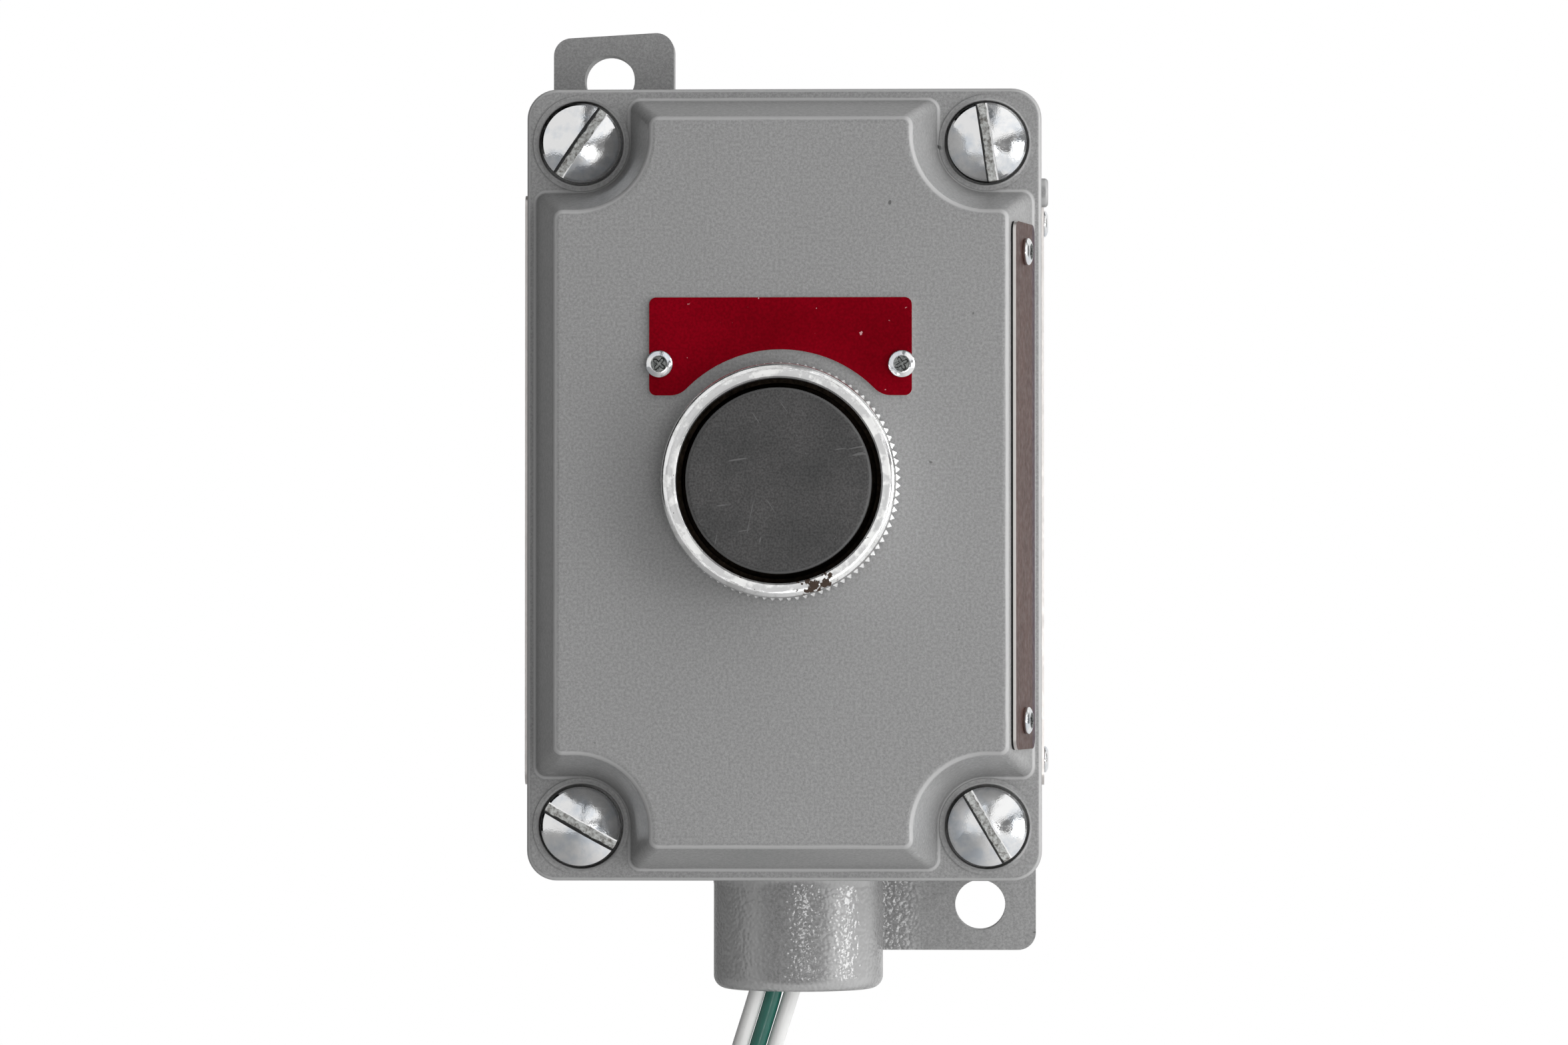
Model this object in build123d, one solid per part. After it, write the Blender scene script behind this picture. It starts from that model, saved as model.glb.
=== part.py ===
from build123d import *
import math
import os

# Every length is in millimetres. The back of the box lies on y = 0, the front faces -Y, +Z is up.

# Joint face between box and cover, 3 1/4 by 5 inches
flange_w = 82.55
flange_h = 127.0
flange_t = 9.0
flange_corner_r = 4.8
flange_edge_r = 0.8

# Box casting
body_depth = 54.0
body_ledge_x = 0.225
body_ledge_z = 0.25
body_corner_r = 5.2
body_draft = 0.6
body_back_r = 2.6
wall_side = 5.6
wall_back = 5.0
cavity_draft = 1.0
cavity_corner_r = 4.0
boss_r = 8.6

# Dome on the cover
dome_h = 17.0
dome_ledge_x = 1.475
dome_ledge_z = 1.9
dome_draft = 13.0
dome_notch_foot_r = 7.9
dome_corner_r = 1.6
dome_top_edge_r = 1.2
dome_foot_edge_r = 0.9
hollow_inset = 5.4
hollow_draft = 9.5
dome_roof = 4.5
boss_inner_r = 22.0
boss_inner_len = 7.5
hollow_notch_r = 8.0
hollow_corner_r = 5.2

# Cover screws, 5/16-18 fillister heads
screw_inset_x = 8.725
screw_inset_z = 8.75
screw_shank_r = 3.85
screw_hole_r = 4.2
screw_tap_clear = 0.05
screw_head_r = 6.3
screw_head_side = 4.6
screw_head_dome = 1.5
screw_slot_w = 1.9
screw_slot_depth = 2.4
screw_reach = 16.0
cbore_clear = 0.45
cbore_depth = 2.6
cbore_lip_r = 0.5
spot_r = 7.7
spot_h = 0.35
slot_angles = (55.0, 98.6, 150.6, 120.7)

# Lugs and their holes
lug_t = 5.6
lug_hole_x = 31.4
lug_hole_out = 6.65
lug_hole_r = 4.25
lug_corner_r = 3.0
lug_root = 8.25
upper_lug_side = 9.5
upper_lug_inner = 10.9
upper_lug_low = 7.0
upper_lug_high = 8.2
lower_lug_side = 9.4
lower_lug_end = 7.6

# Conduit hub
hub_x = 1.0
hub_y = -18.0
hub_r = 14.15
hub_len = 19.95
hub_bore_r = 9.6
hub_throat_r = 8.2
hub_thread_depth = 16.5
hub_mouth_bevel = 1.3
hub_rim_r = 2.2
hub_root_r = 3.0

# Operator, all turned about the Y axis through the origin
op_hole_r = 15.05
op_barrel_r = 15.0
op_gasket_t = 0.8
op_head_r = 17.35
op_head_len = 6.2
op_cup_r = 15.35
op_cup_depth = 6.0
op_pocket_r = 12.2
op_pocket_depth = 13.8
barrel_to_strap = 4.0
lock_nut_flat_r = 18.8
lock_nut_t = 5.5
lock_nut_bevel = 0.9
shaft_r = 4.95
shaft_nose_r = 3.85
shaft_end_clear = 0.35
shaft_run_clear = 0.05
fit_clear = 0.05
knurl_tip_r = 18.7
knurl_root_r = 18.0
knurl_teeth = 90
knurl_h = 5.6
knurl_bevel = 0.6
knurl_runout = 0.2
bezel_r = 18.35
bezel_round = 0.95
bezel_edge = 0.25
bezel_hole_r = 16.05
bezel_h = 4.4
seal_t = 0.8
button_r = 14.55
button_t = 4.4
button_sunk = 0.5
button_recess_r = 11.9
button_recess_depth = 1.4
button_hub_r = 8.2
travel = 5.5
clip_t = 1.0
clip_r = 7.0
shaft_reach = 4.0
spring_mean_r = 10.4
spring_wire_r = 0.6
spring_turns = 4.5

# Switch block hung behind the operator
strap_front = 1.0
strap_t = 2.0
strap_arm_w = 12.0
strap_len = 70.0
strap_post_z = 29.0
post_r = 5.0
strap_hole_r = 8.0
block_w = 30.0
block_len = 48.0
block_wing_t = 17.0
block_core_len = 32.0
block_core_t = 22.0
block_corner_r = 1.5
chamber_w = 15.0
chamber_len = 26.0
block_roof_t = 7.0
recess_r = 8.5
recess_depth = 4.0
base_t = 4.0
plunger_r = 4.0
plunger_flange_r = 5.6
plunger_flange_t = 1.5
plunger_stem_r = 2.0
plunger_stem_len = 9.0
plunger_gap = 0.05
plunger_bore_clear = 0.06
bridge_w = 7.0
bridge_len = 25.0
bridge_t = 1.2
contact_z = 10.0
contact_r = 2.0
contact_tip_t = 0.85
contact_gap_left = 0.1
strip_w = 8.0
strip_t = 1.0
strip_in_z = 7.6
strip_out_z = 23.6
term_z = 20.1
term_len = 7.0
term_clamp_t = 3.0
term_screw_r = 1.75
term_screw_reach = 8.5
term_head_r = 3.2
term_head_t = 2.2
small_screw_r = 1.5
small_head_r = 2.8
small_head_t = 1.9
small_slot_w = 0.8
strap_screw_reach = 11.0
block_screw_reach = 12.0
base_screw_reach = 11.0
block_screw_x = 11.4
base_screw_z = 11.5
cspring_mean_r = 3.0
cspring_wire_r = 0.35
cspring_turns = 6.5

# Plates and their drive screws
plate_t = 0.8
plate_seat = 0.005
drive_head_r = 2.15
drive_head_t = 1.2
drive_shank_r = 1.2
drive_reach = 4.2
drive_fit = 0.02
red_w = 41.4
red_top_z = 29.1
red_bottom_z = 13.65
red_arc_r = 20.9
red_corner_r = 1.1
red_curve_r = 3.6
red_screw_inset = 1.6
red_screw_z = 18.6
dome_plate_end_gap = 13.0
dome_plate_w = 13.6
dome_plate_z = -0.45
dome_plate_r = 1.6
dome_screw_inset = 4.55
side_plate_w = 34.0
side_plate_to_joint = 22.5
side_plate_end_gap = 15.25
side_plate_z = -0.5
side_plate_r = 2.0
side_screw_inset = 3.8
side_pad_left = 0.8
nub_top_gap = 15.75
nub_r = 2.35
nub_out = 1.4

# Earthing point
earth_x = -22.0
earth_z = -22.0
earth_boss_r = 6.5
earth_boss_h = 4.0
earth_screw_r = 2.0
earth_head_r = 4.4
earth_head_t = 2.8
earth_ring_r = 4.6
earth_ring_t = 1.0
earth_barrel_r = 2.1
earth_barrel_len = 8.0

# Leads
lead_r = 1.35
lead_pitch = 2.9

body_w = flange_w - 2 * body_ledge_x
body_h = flange_h - 2 * body_ledge_z
dome_foot_w = flange_w - 2 * dome_ledge_x
dome_foot_h = flange_h - 2 * dome_ledge_z
screw_x = flange_w / 2 - screw_inset_x
screw_z = flange_h / 2 - screw_inset_z
lug_hole_z = body_h / 2 + lug_hole_out
hub_end_z = -(body_h / 2 + hub_len)
red_screw_x = red_w / 2 - red_screw_inset
dome_plate_len = 2 * (screw_z - dome_plate_end_gap)
dome_screw_dz = dome_plate_len / 2 - dome_screw_inset
side_plate_y = -body_depth + side_plate_to_joint
side_plate_len = body_h - 2 * side_plate_end_gap
side_screw_dz = side_plate_len / 2 - side_screw_inset
nub_z = body_h / 2 - nub_top_gap
strap_y = -body_depth - strap_front
op_barrel_end_y = strap_y - barrel_to_strap
block_front_y = strap_y + strap_t
block_end_y = block_front_y + block_wing_t
block_core_y = block_front_y + block_core_t
chamber_front_y = block_front_y + block_roof_t
plunger_stem_end_y = chamber_front_y + plunger_stem_len
shaft_tip_y = strap_y + shaft_reach
shaft_step_y = block_front_y + recess_depth - travel - shaft_end_clear
flange_front_y = -(body_depth + flange_t)
dome_top_y = flange_front_y - dome_h
roof_inner_y = dome_top_y + dome_roof
boss_end_y = roof_inner_y + boss_inner_len
op_head_y = dome_top_y - op_gasket_t
op_front_y = op_head_y - op_head_len
cup_floor_y = op_front_y + op_cup_depth
pocket_floor_y = op_front_y + op_pocket_depth
bezel_front_y = op_front_y - seal_t - bezel_h + 0.4
button_front_y = bezel_front_y + button_sunk
button_back_y = button_front_y + button_t
through_y = 2 * bezel_front_y


def front(y):
    return Plane(origin=(0, y, 0), x_dir=(1, 0, 0), z_dir=(0, -1, 0))


def rear(y):
    return Plane(origin=(0, y, 0), x_dir=(-1, 0, 0), z_dir=(0, 1, 0))


def rod(x, z, r, y_back, y_front):
    return extrude(front(y_back) * Pos(x, z) * Circle(r), amount=y_back - y_front)


# A rod long enough to drill any piece right through
def drill(x, z, r):
    return rod(x, z, r, 0, through_y)


def slab(x0, x1, y0, y1, z0, z1):
    size = Box(abs(x1 - x0), abs(y1 - y0), abs(z1 - z0))
    return Pos((x0 + x1) / 2, (y0 + y1) / 2, (z0 + z1) / 2) * size


def turned(points):
    outline = make_face(Polyline(*[(r, y, 0) for r, y in points], close=True))
    return revolve(outline, axis=Axis.Y)


def cover_screw_places():
    return [(-screw_x, screw_z), (screw_x, screw_z), (-screw_x, -screw_z), (screw_x, -screw_z)]


# A rectangle whose four corners are cut back around the cover screws, each cut rounded about its screw
def notched_outline(half_w, half_h, reach, notch_r, outer_r):
    cut_x = screw_x - reach
    cut_z = screw_z - reach
    ring = []
    for sx, sz, flip in ((1, 1, 0), (-1, 1, 1), (-1, -1, 0), (1, -1, 1)):
        corner = [(half_w, cut_z), (cut_x, cut_z), (cut_x, half_h)]
        if flip:
            corner.reverse()
        ring += [(sx * x, sz * z) for x, z in corner]
    face = make_face(Polyline(*ring, close=True))
    inner = [v for v in face.vertices() if abs(abs(v.X) - cut_x) < 1e-4 and abs(abs(v.Y) - cut_z) < 1e-4]
    face = fillet(inner, notch_r)
    if outer_r == 0:
        return face
    outer = [v for v in face.vertices() if abs(abs(v.X) - half_w) < 1e-4 and abs(abs(v.Y) - cut_z) < 1e-4]
    outer += [v for v in face.vertices() if abs(abs(v.Y) - half_h) < 1e-4 and abs(abs(v.X) - cut_x) < 1e-4]
    return fillet(outer, outer_r)


def export(solid, name):
    export_step(solid, "parts/" + name + ".step")
    return solid


# Upper lug, its top edge rising a little to the right, and lower lug that runs into the hub
def lugs():
    root_z = body_h / 2 - lug_root
    left = -lug_hole_x - upper_lug_side
    right = -lug_hole_x + upper_lug_inner
    upper = make_face(Polyline((left, root_z), (left, lug_hole_z + upper_lug_low),
                               (right, lug_hole_z + upper_lug_high), (right, root_z), close=True))
    upper = fillet([v for v in upper.vertices() if v.Y > lug_hole_z], lug_corner_r)
    inner = hub_x + hub_r / 4
    side = lug_hole_x + lower_lug_side
    end_z = -lug_hole_z - lower_lug_end
    lower = make_face(Polyline((inner, -root_z), (inner, end_z), (side, end_z), (side, -root_z), close=True))
    lower = fillet([v for v in lower.vertices() if v.Y < -lug_hole_z and v.X > lug_hole_x], lug_corner_r)
    return extrude(front(0) * upper, amount=lug_t) + extrude(front(0) * lower, amount=lug_t)


def hub_outer():
    top_z = -body_h / 2 + wall_side / 2
    return Pos(hub_x, hub_y, (hub_end_z + top_z) / 2) * Cylinder(hub_r, top_z - hub_end_z)


# Edges where the hub meets the floor of the box and the lower lug
def hub_root_edges(shell):
    floor_z = -body_h / 2
    found = []
    for edge in shell.edges():
        span = edge.bounding_box()
        on_floor = abs(edge.center().Z - floor_z) < hub_rim_r
        if edge.geom_type == GeomType.ELLIPSE and on_floor:
            found.append(edge)
        beside_hub = span.max.X - span.min.X < 0.01 and hub_x < span.min.X < hub_x + 0.9 * hub_r
        if edge.geom_type == GeomType.LINE and beside_hub and abs(edge.center().Y + lug_t) < 0.01:
            found.append(edge)
    return found


def body_casting():
    box = extrude(rear(-body_depth) * RectangleRounded(body_w, body_h, body_corner_r), amount=body_depth,
                  taper=body_draft)
    box = fillet(box.edges().group_by(Axis.Y)[-1], body_back_r)
    shell = box + lugs() + hub_outer()
    shell = fillet(hub_root_edges(shell), hub_root_r)
    rim = shell.edges().filter_by(GeomType.CIRCLE).filter_by_position(Axis.Z, hub_end_z - 0.01, hub_end_z + 0.01)
    shell = fillet(rim, hub_rim_r)
    pad_w = side_plate_w + 3
    pad_h = side_plate_len + 3
    pad = Box(2 * side_pad_left + 2, pad_w, pad_h)
    left_pad = Pos(-(body_w / 2 + side_pad_left - pad.bounding_box().size.X / 2), side_plate_y, side_plate_z) * pad
    shell = shell + left_pad
    nub_x = body_w / 2 + nub_out - wall_side / 2
    nub = Pos(nub_x, -body_depth + nub_r + 0.6, nub_z) * Rot(0, 90, 0) * Cylinder(nub_r, wall_side)
    nub = fillet(nub.edges().group_by(Axis.X)[-1], 0.6)
    shell = shell + nub
    cave = extrude(rear(-body_depth) * RectangleRounded(body_w - 2 * wall_side, body_h - 2 * wall_side,
                   cavity_corner_r), amount=body_depth - wall_back, taper=cavity_draft)
    cave = fillet(cave.edges().group_by(Axis.Y)[-1], 2.0)
    for x, z in cover_screw_places():
        cave = cave - rod(x, z, boss_r, 0, -body_depth)
        sx = math.copysign(1, x)
        sz = math.copysign(1, z)
        cave = cave - slab(x, sx * body_w, 0, -body_depth, z - sz * boss_r, sz * body_h)
        cave = cave - slab(x - sx * boss_r, sx * body_w, 0, -body_depth, z, sz * body_h)
    shell = shell - cave
    shell = shell + rod(earth_x, earth_z, earth_boss_r, -wall_back + 1, -wall_back - earth_boss_h)
    shell = shell - rod(earth_x, earth_z, earth_screw_r + screw_tap_clear, -2.2, -wall_back - earth_boss_h - 1)
    for x, z in cover_screw_places():
        shell = shell - rod(x, z, screw_shank_r + screw_tap_clear, -body_depth + screw_reach + 3, -body_depth - 1)
    for sx in (-1, 1):
        shell = shell - rod(sx * lug_hole_x, -sx * lug_hole_z, lug_hole_r, 1, -lug_t - 1)
    bore = Pos(hub_x, hub_y, hub_end_z + hub_thread_depth / 2 - 1) * Cylinder(hub_bore_r, hub_thread_depth + 2)
    throat_top_z = -body_h / 2 + 2 * wall_side
    throat_low_z = hub_end_z + hub_thread_depth / 2
    throat = Pos(hub_x, hub_y, (throat_top_z + throat_low_z) / 2) * Cylinder(hub_throat_r, throat_top_z - throat_low_z)
    shell = shell - bore - throat
    mouth = Pos(hub_x, hub_y, hub_end_z + hub_mouth_bevel / 2 - 0.05)
    mouth = mouth * Cone(hub_bore_r + hub_mouth_bevel, hub_bore_r, hub_mouth_bevel)
    shell = shell - mouth
    for side, frame in side_plate_frames():
        for dz in (-side_screw_dz, side_screw_dz):
            hole = Pos(dz, 0, -drive_reach / 2) * Cylinder(drive_shank_r + drive_fit, drive_reach + 2)
            shell = shell - frame * hole
    return export(shell, "body_casting")


# The dome leans in on all sides; its eight outer corners keep one small radius from foot to top
def dome_solid():
    foot = notched_outline(dome_foot_w / 2, dome_foot_h / 2, dome_notch_foot_r, dome_notch_foot_r, 0)
    dome = extrude(front(flange_front_y) * foot, amount=dome_h, taper=dome_draft)
    corners = []
    for edge in dome.edges():
        top, low = sorted((edge.position_at(0), edge.position_at(1)), key=lambda end: end.Y)
        outside = abs(abs(low.X) - dome_foot_w / 2) < 0.01 or abs(abs(low.Z) - dome_foot_h / 2) < 0.01
        if low.Y - top.Y > dome_h / 2 and outside:
            corners.append(edge)
    dome = fillet(corners, dome_corner_r)
    return fillet(dome.edges().group_by(Axis.Y)[0], dome_top_edge_r)


# The line where the dome meets the flange
def dome_foot_edges(shell):
    found = []
    for edge in shell.edges():
        mid = edge.position_at(0.5)
        level = max(abs(edge.position_at(share).Y - flange_front_y) for share in (0, 0.5, 1)) < 0.001
        inside = abs(mid.X) < dome_foot_w / 2 + 0.01 and abs(mid.Z) < dome_foot_h / 2 + 0.01
        beyond_screw = abs(mid.X) > screw_x and abs(mid.Z) > screw_z
        if level and inside and not beyond_screw:
            found.append(edge)
    return found


def cover_casting():
    plate = extrude(front(-body_depth) * RectangleRounded(flange_w, flange_h, flange_corner_r), amount=flange_t)
    plate = fillet(plate.edges().group_by(Axis.Y)[0], flange_edge_r)
    shell = plate + dome_solid()
    shell = fillet(dome_foot_edges(shell), dome_foot_edge_r)
    for x, z in cover_screw_places():
        shell = shell + rod(x, z, spot_r, flange_front_y + 1, flange_front_y - spot_h)
    inset_w = dome_foot_w / 2 - hollow_inset
    inset_h = dome_foot_h / 2 - hollow_inset
    inside = notched_outline(inset_w, inset_h, dome_notch_foot_r + hollow_inset, hollow_notch_r, hollow_corner_r)
    hollow = extrude(front(-body_depth) * inside, amount=flange_t + dome_h - dome_roof, taper=hollow_draft)
    hollow = fillet(hollow.edges().group_by(Axis.Y)[0], 1.6)
    shell = shell - hollow
    shell = shell + rod(0, 0, boss_inner_r, boss_end_y, roof_inner_y - 1)
    shell = shell - drill(0, 0, op_hole_r)
    for sz in (-1, 1):
        post = rod(0, sz * strap_post_z, post_r, strap_y, roof_inner_y - 1)
        shell = shell + post
        shell = shell - rod(0, sz * strap_post_z, small_screw_r + screw_tap_clear, strap_y + 1,
                            strap_y - strap_screw_reach - 1)
    for x, z in cover_screw_places():
        shell = shell - rod(x, z, screw_hole_r, -body_depth + 1, flange_front_y - 2)
        shell = shell - rod(x, z, screw_head_r + cbore_clear, flange_front_y + cbore_depth, flange_front_y - 2)
    lips = [e for e in shell.edges().filter_by(GeomType.CIRCLE) if abs(e.radius - screw_head_r - cbore_clear) < 1e-3
            and abs(e.center().Y - flange_front_y + spot_h) < 1e-3]
    shell = fillet(lips, cbore_lip_r)
    for sx in (-1, 1):
        shell = shell - rod(sx * red_screw_x, red_screw_z, drive_shank_r + drive_fit, dome_top_y + drive_reach,
                            dome_top_y - 1)
    wall = dome_wall_plane()
    for dz in (-dome_screw_dz, dome_screw_dz):
        shell = shell - wall * Pos(dz, 0, -drive_reach / 2) * Cylinder(drive_shank_r + drive_fit, drive_reach + 2)
    return export(shell, "cover_casting")


# A frame lying on the right sloping wall of the dome: local x runs up, local z points out of the wall
def dome_wall_plane():
    lean = math.radians(dome_draft)
    mid_x = dome_foot_w / 2 - math.tan(lean) * dome_h / 2
    mid_y = flange_front_y - dome_h / 2
    out = (math.cos(lean), -math.sin(lean), 0)
    return Plane(origin=(mid_x, mid_y, dome_plate_z), x_dir=(0, 0, 1), z_dir=out)


# A domed head standing on z = 0 of its own frame, its edge broken by a small bevel
def domed_head(r, side_h, dome_h, bevel):
    rim = r - bevel
    ball_r = (rim ** 2 + dome_h ** 2) / (2 * dome_h)
    half = math.asin(rim / ball_r) / 2
    top_z = side_h + dome_h
    middle = (ball_r * math.sin(half), 0, top_z - ball_r * (1 - math.cos(half)))
    sides = Polyline((0, 0, top_z), (0, 0, 0), (r, 0, 0), (r, 0, side_h - bevel), (rim, 0, side_h))
    crown = ThreePointArc((rim, 0, side_h), middle, (0, 0, top_z))
    return revolve(make_face([*sides.edges(), *crown.edges()]), axis=Axis.Z)


def cover_screws():
    seat_y = flange_front_y + cbore_depth
    names = ("top_left", "top_right", "bottom_left", "bottom_right")
    for number, (x, z) in enumerate(cover_screw_places()):
        frame = Plane(origin=(x, seat_y, z), x_dir=(1, 0, 0), z_dir=(0, -1, 0))
        head = frame * domed_head(screw_head_r, screw_head_side, screw_head_dome, 0.3)
        shank = rod(x, z, screw_shank_r, -body_depth + screw_reach, seat_y)
        shank = chamfer(shank.edges().group_by(Axis.Y)[-1], 0.8)
        top_y = seat_y - screw_head_side - screw_head_dome
        slot = Box(3 * screw_head_r, 2 * screw_slot_depth, screw_slot_w)
        slot = Pos(x, top_y, z) * Rot(0, -slot_angles[number], 0) * slot
        export(head + shank - slot, "cover_screw_" + names[number])


def operator_bushing():
    bore = shaft_r + shaft_run_clear
    profile = [
        (bore, op_barrel_end_y),
        (bore, pocket_floor_y),
        (op_pocket_r, pocket_floor_y),
        (op_pocket_r, cup_floor_y),
        (op_cup_r, cup_floor_y),
        (op_cup_r, op_front_y),
        (op_head_r - 0.5, op_front_y),
        (op_head_r, op_front_y + 0.5),
        (op_head_r, op_head_y),
        (op_barrel_r, op_head_y),
        (op_barrel_r, op_barrel_end_y - 0.8),
        (op_barrel_r - 0.8, op_barrel_end_y),
    ]
    return export(turned(profile), "operator_bushing")


def operator_gasket():
    ring = rod(0, 0, op_head_r - 0.2, dome_top_y, op_head_y) - drill(0, 0, op_hole_r)
    return export(ring, "operator_gasket")


def lock_nut():
    back_y = boss_end_y + lock_nut_t
    wide_r = 1.1 * lock_nut_flat_r
    nut = extrude(front(back_y) * RegularPolygon(lock_nut_flat_r, 6, major_radius=False), amount=lock_nut_t)
    nut = nut & turned([(0, boss_end_y), (wide_r, boss_end_y), (wide_r, back_y - lock_nut_bevel),
                        (lock_nut_flat_r, back_y), (0, back_y)])
    return export(nut - drill(0, 0, op_barrel_r + fit_clear), "lock_nut")


# The ring nut that shows: a skirt of pointed serrations, rolled on a little out of true, behind
# a smooth bezel with a rounded outer edge
def bezel_ring():
    skirt_back = dome_top_y - 0.35
    skirt_front = skirt_back - knurl_h
    points = []
    for i in range(knurl_teeth):
        turn = 2 * math.pi / knurl_teeth
        for share, r in ((0.0, knurl_root_r), (0.42, knurl_tip_r), (0.52, knurl_tip_r), (0.94, knurl_root_r)):
            angle = (i + share) * turn
            points.append((r * math.cos(angle), r * math.sin(angle)))
    skirt = extrude(front(skirt_back) * make_face(Polyline(*points, close=True)), amount=knurl_h)
    wide_r = knurl_tip_r + fit_clear
    trim = turned([(0, skirt_back), (knurl_root_r, skirt_back), (wide_r, skirt_back - knurl_bevel),
                   (wide_r, skirt_front + knurl_bevel), (knurl_root_r, skirt_front), (0, skirt_front)])
    skirt = Pos(knurl_runout, 0, 0) * (skirt & trim)
    inner = op_head_r + fit_clear
    seat = op_front_y - seal_t
    profile = [
        (inner, skirt_back),
        (inner, seat),
        (bezel_hole_r, seat),
        (bezel_hole_r, bezel_front_y + bezel_edge),
        (bezel_hole_r + bezel_edge, bezel_front_y),
        (bezel_r, bezel_front_y),
        (bezel_r, skirt_front),
        (knurl_root_r - 0.25, skirt_front),
        (knurl_root_r - 0.25, skirt_back),
    ]
    core = turned(profile)
    rim = [e for e in core.edges().filter_by(GeomType.CIRCLE) if abs(e.radius - bezel_r) < 1e-3
           and abs(e.center().Y - bezel_front_y) < 1e-3]
    core = fillet(rim, bezel_round)
    skirt = skirt - drill(0, 0, (inner + knurl_root_r - 0.25) / 2)
    return export(core + skirt, "bezel_ring")


def ring_seal():
    seal = rod(0, 0, op_head_r - 0.4, op_front_y, op_front_y - seal_t) - drill(0, 0, bezel_hole_r)
    return export(seal, "ring_seal")


def button_cap():
    cap = rod(0, 0, button_r, button_back_y, button_front_y)
    cap = fillet(cap.edges().group_by(Axis.Y)[0], 0.7)
    recess = rod(0, 0, button_recess_r, button_back_y, button_back_y - button_recess_depth)
    cap = cap - (recess - drill(0, 0, button_hub_r))
    cap = cap - rod(0, 0, shaft_r - 0.9 + fit_clear, button_back_y, button_front_y + 1.4)
    return export(cap, "button_cap")


def button_shaft():
    shaft = rod(0, 0, shaft_r, shaft_step_y, button_back_y) + rod(0, 0, shaft_nose_r, shaft_tip_y, shaft_step_y)
    shaft = shaft + rod(0, 0, shaft_r - 0.9, button_back_y, button_front_y + 1.5)
    groove = rod(0, 0, shaft_r + 1, op_barrel_end_y + clip_t, op_barrel_end_y)
    groove = groove - drill(0, 0, shaft_r - 0.8)
    shaft = shaft - groove
    shaft = chamfer(shaft.edges().group_by(Axis.Y)[-1], 0.4)
    return export(shaft, "button_shaft")


# Open-sided snap ring in the groove of the shaft, the stop that keeps the button in
def shaft_clip():
    ring = rod(0, 0, clip_r, op_barrel_end_y + clip_t, op_barrel_end_y)
    ring = ring - drill(0, 0, shaft_r - 0.8 + 0.02)
    ring = ring - slab(-2.6, 2.6, through_y, 0, 0, 2 * clip_r)
    return export(ring, "shaft_clip")


def coil(mean_r, wire_r, turns, y_back, y_front):
    rise = y_back - y_front - 2 * wire_r
    path = Helix(pitch=rise / turns, height=rise, radius=mean_r)
    start = Plane(origin=path @ 0, z_dir=path % 0)
    wire = sweep(start * Circle(wire_r), path=path, is_frenet=True)
    return Pos(0, y_back - wire_r, 0) * Rot(90, 0, 0) * wire


def return_spring():
    room = 0.05
    spring = coil(spring_mean_r, spring_wire_r, spring_turns, pocket_floor_y - room,
                  button_back_y - button_recess_depth + room)
    return export(spring, "return_spring")


def mounting_strap():
    y0 = strap_y
    y1 = strap_y + strap_t
    outline = Rectangle(strap_arm_w, strap_len) + RectangleRounded(block_w, 22, 3)
    outline = fillet([v for v in outline.vertices() if abs(v.Y) > 30], 4.5)
    strap = extrude(rear(y0) * outline, amount=strap_t)
    strap = strap - rod(0, 0, strap_hole_r, y1 + 1, y0 - 1)
    for s in (-1, 1):
        strap = strap - rod(0, s * strap_post_z, small_screw_r + 0.25, y1 + 1, y0 - 1)
        strap = strap - rod(s * block_screw_x, 0, small_screw_r + 0.25, y1 + 1, y0 - 1)
    return export(strap, "mounting_strap")


def small_screw(x, z, seat_y, toward, reach):
    tip_y = seat_y - toward * reach
    top_y = seat_y + toward * small_head_t
    head = rod(x, z, small_head_r, max(seat_y, top_y), min(seat_y, top_y))
    outer = 0 if toward < 0 else -1
    head = fillet(head.edges().group_by(Axis.Y)[outer], 0.7)
    shank = rod(x, z, small_screw_r, max(seat_y, tip_y), min(seat_y, tip_y))
    slot = Pos(x, top_y, z) * Box(3 * small_head_r, small_head_t, small_slot_w)
    return head + shank - slot


def strap_screws():
    pair = [small_screw(0, s * strap_post_z, strap_y + strap_t, 1, strap_screw_reach) for s in (-1, 1)]
    return export(Compound(children=pair), "strap_screws")


def housing_screws():
    pair = [small_screw(s * block_screw_x, 0, strap_y, -1, block_screw_reach) for s in (-1, 1)]
    return export(Compound(children=pair), "housing_screws")


def contact_housing():
    low = extrude(rear(block_front_y) * RectangleRounded(block_w, block_len, block_corner_r), amount=block_wing_t)
    core = extrude(rear(block_front_y) * RectangleRounded(block_w, block_core_len, block_corner_r),
                   amount=block_core_t)
    body = low + core
    body = body - slab(-chamber_w / 2, chamber_w / 2, chamber_front_y, 0, -chamber_len / 2, chamber_len / 2)
    body = body - rod(0, 0, recess_r, block_front_y + recess_depth, block_front_y - 1)
    body = body - drill(0, 0, plunger_r + plunger_bore_clear)
    for s in (-1, 1):
        slot_in = s * (chamber_len / 2 - 1)
        body = body - slab(-strip_w / 2 - fit_clear, strip_w / 2 + fit_clear, block_end_y, block_end_y + strip_t + fit_clear,
                           slot_in, s * (block_core_len / 2 + 1))
        body = body - rod(0, s * term_z, term_screw_r + fit_clear, 0, block_end_y - term_screw_reach - 1)
        body = body - rod(s * block_screw_x, 0, small_screw_r + screw_tap_clear, strap_y + block_screw_reach + 1,
                          block_front_y - 1)
        body = body - rod(s * block_screw_x, s * base_screw_z, small_screw_r + screw_tap_clear, 0,
                          block_core_y + base_t - base_screw_reach - 1)
    return export(body, "contact_housing")


def housing_base():
    base = extrude(rear(block_core_y) * RectangleRounded(block_w, block_core_len, block_corner_r), amount=base_t)
    base = fillet(base.edges().group_by(Axis.Y)[-1], 0.6)
    for s in (-1, 1):
        base = base - drill(s * block_screw_x, s * base_screw_z, small_screw_r + 0.2)
    return export(base, "housing_base")


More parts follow.
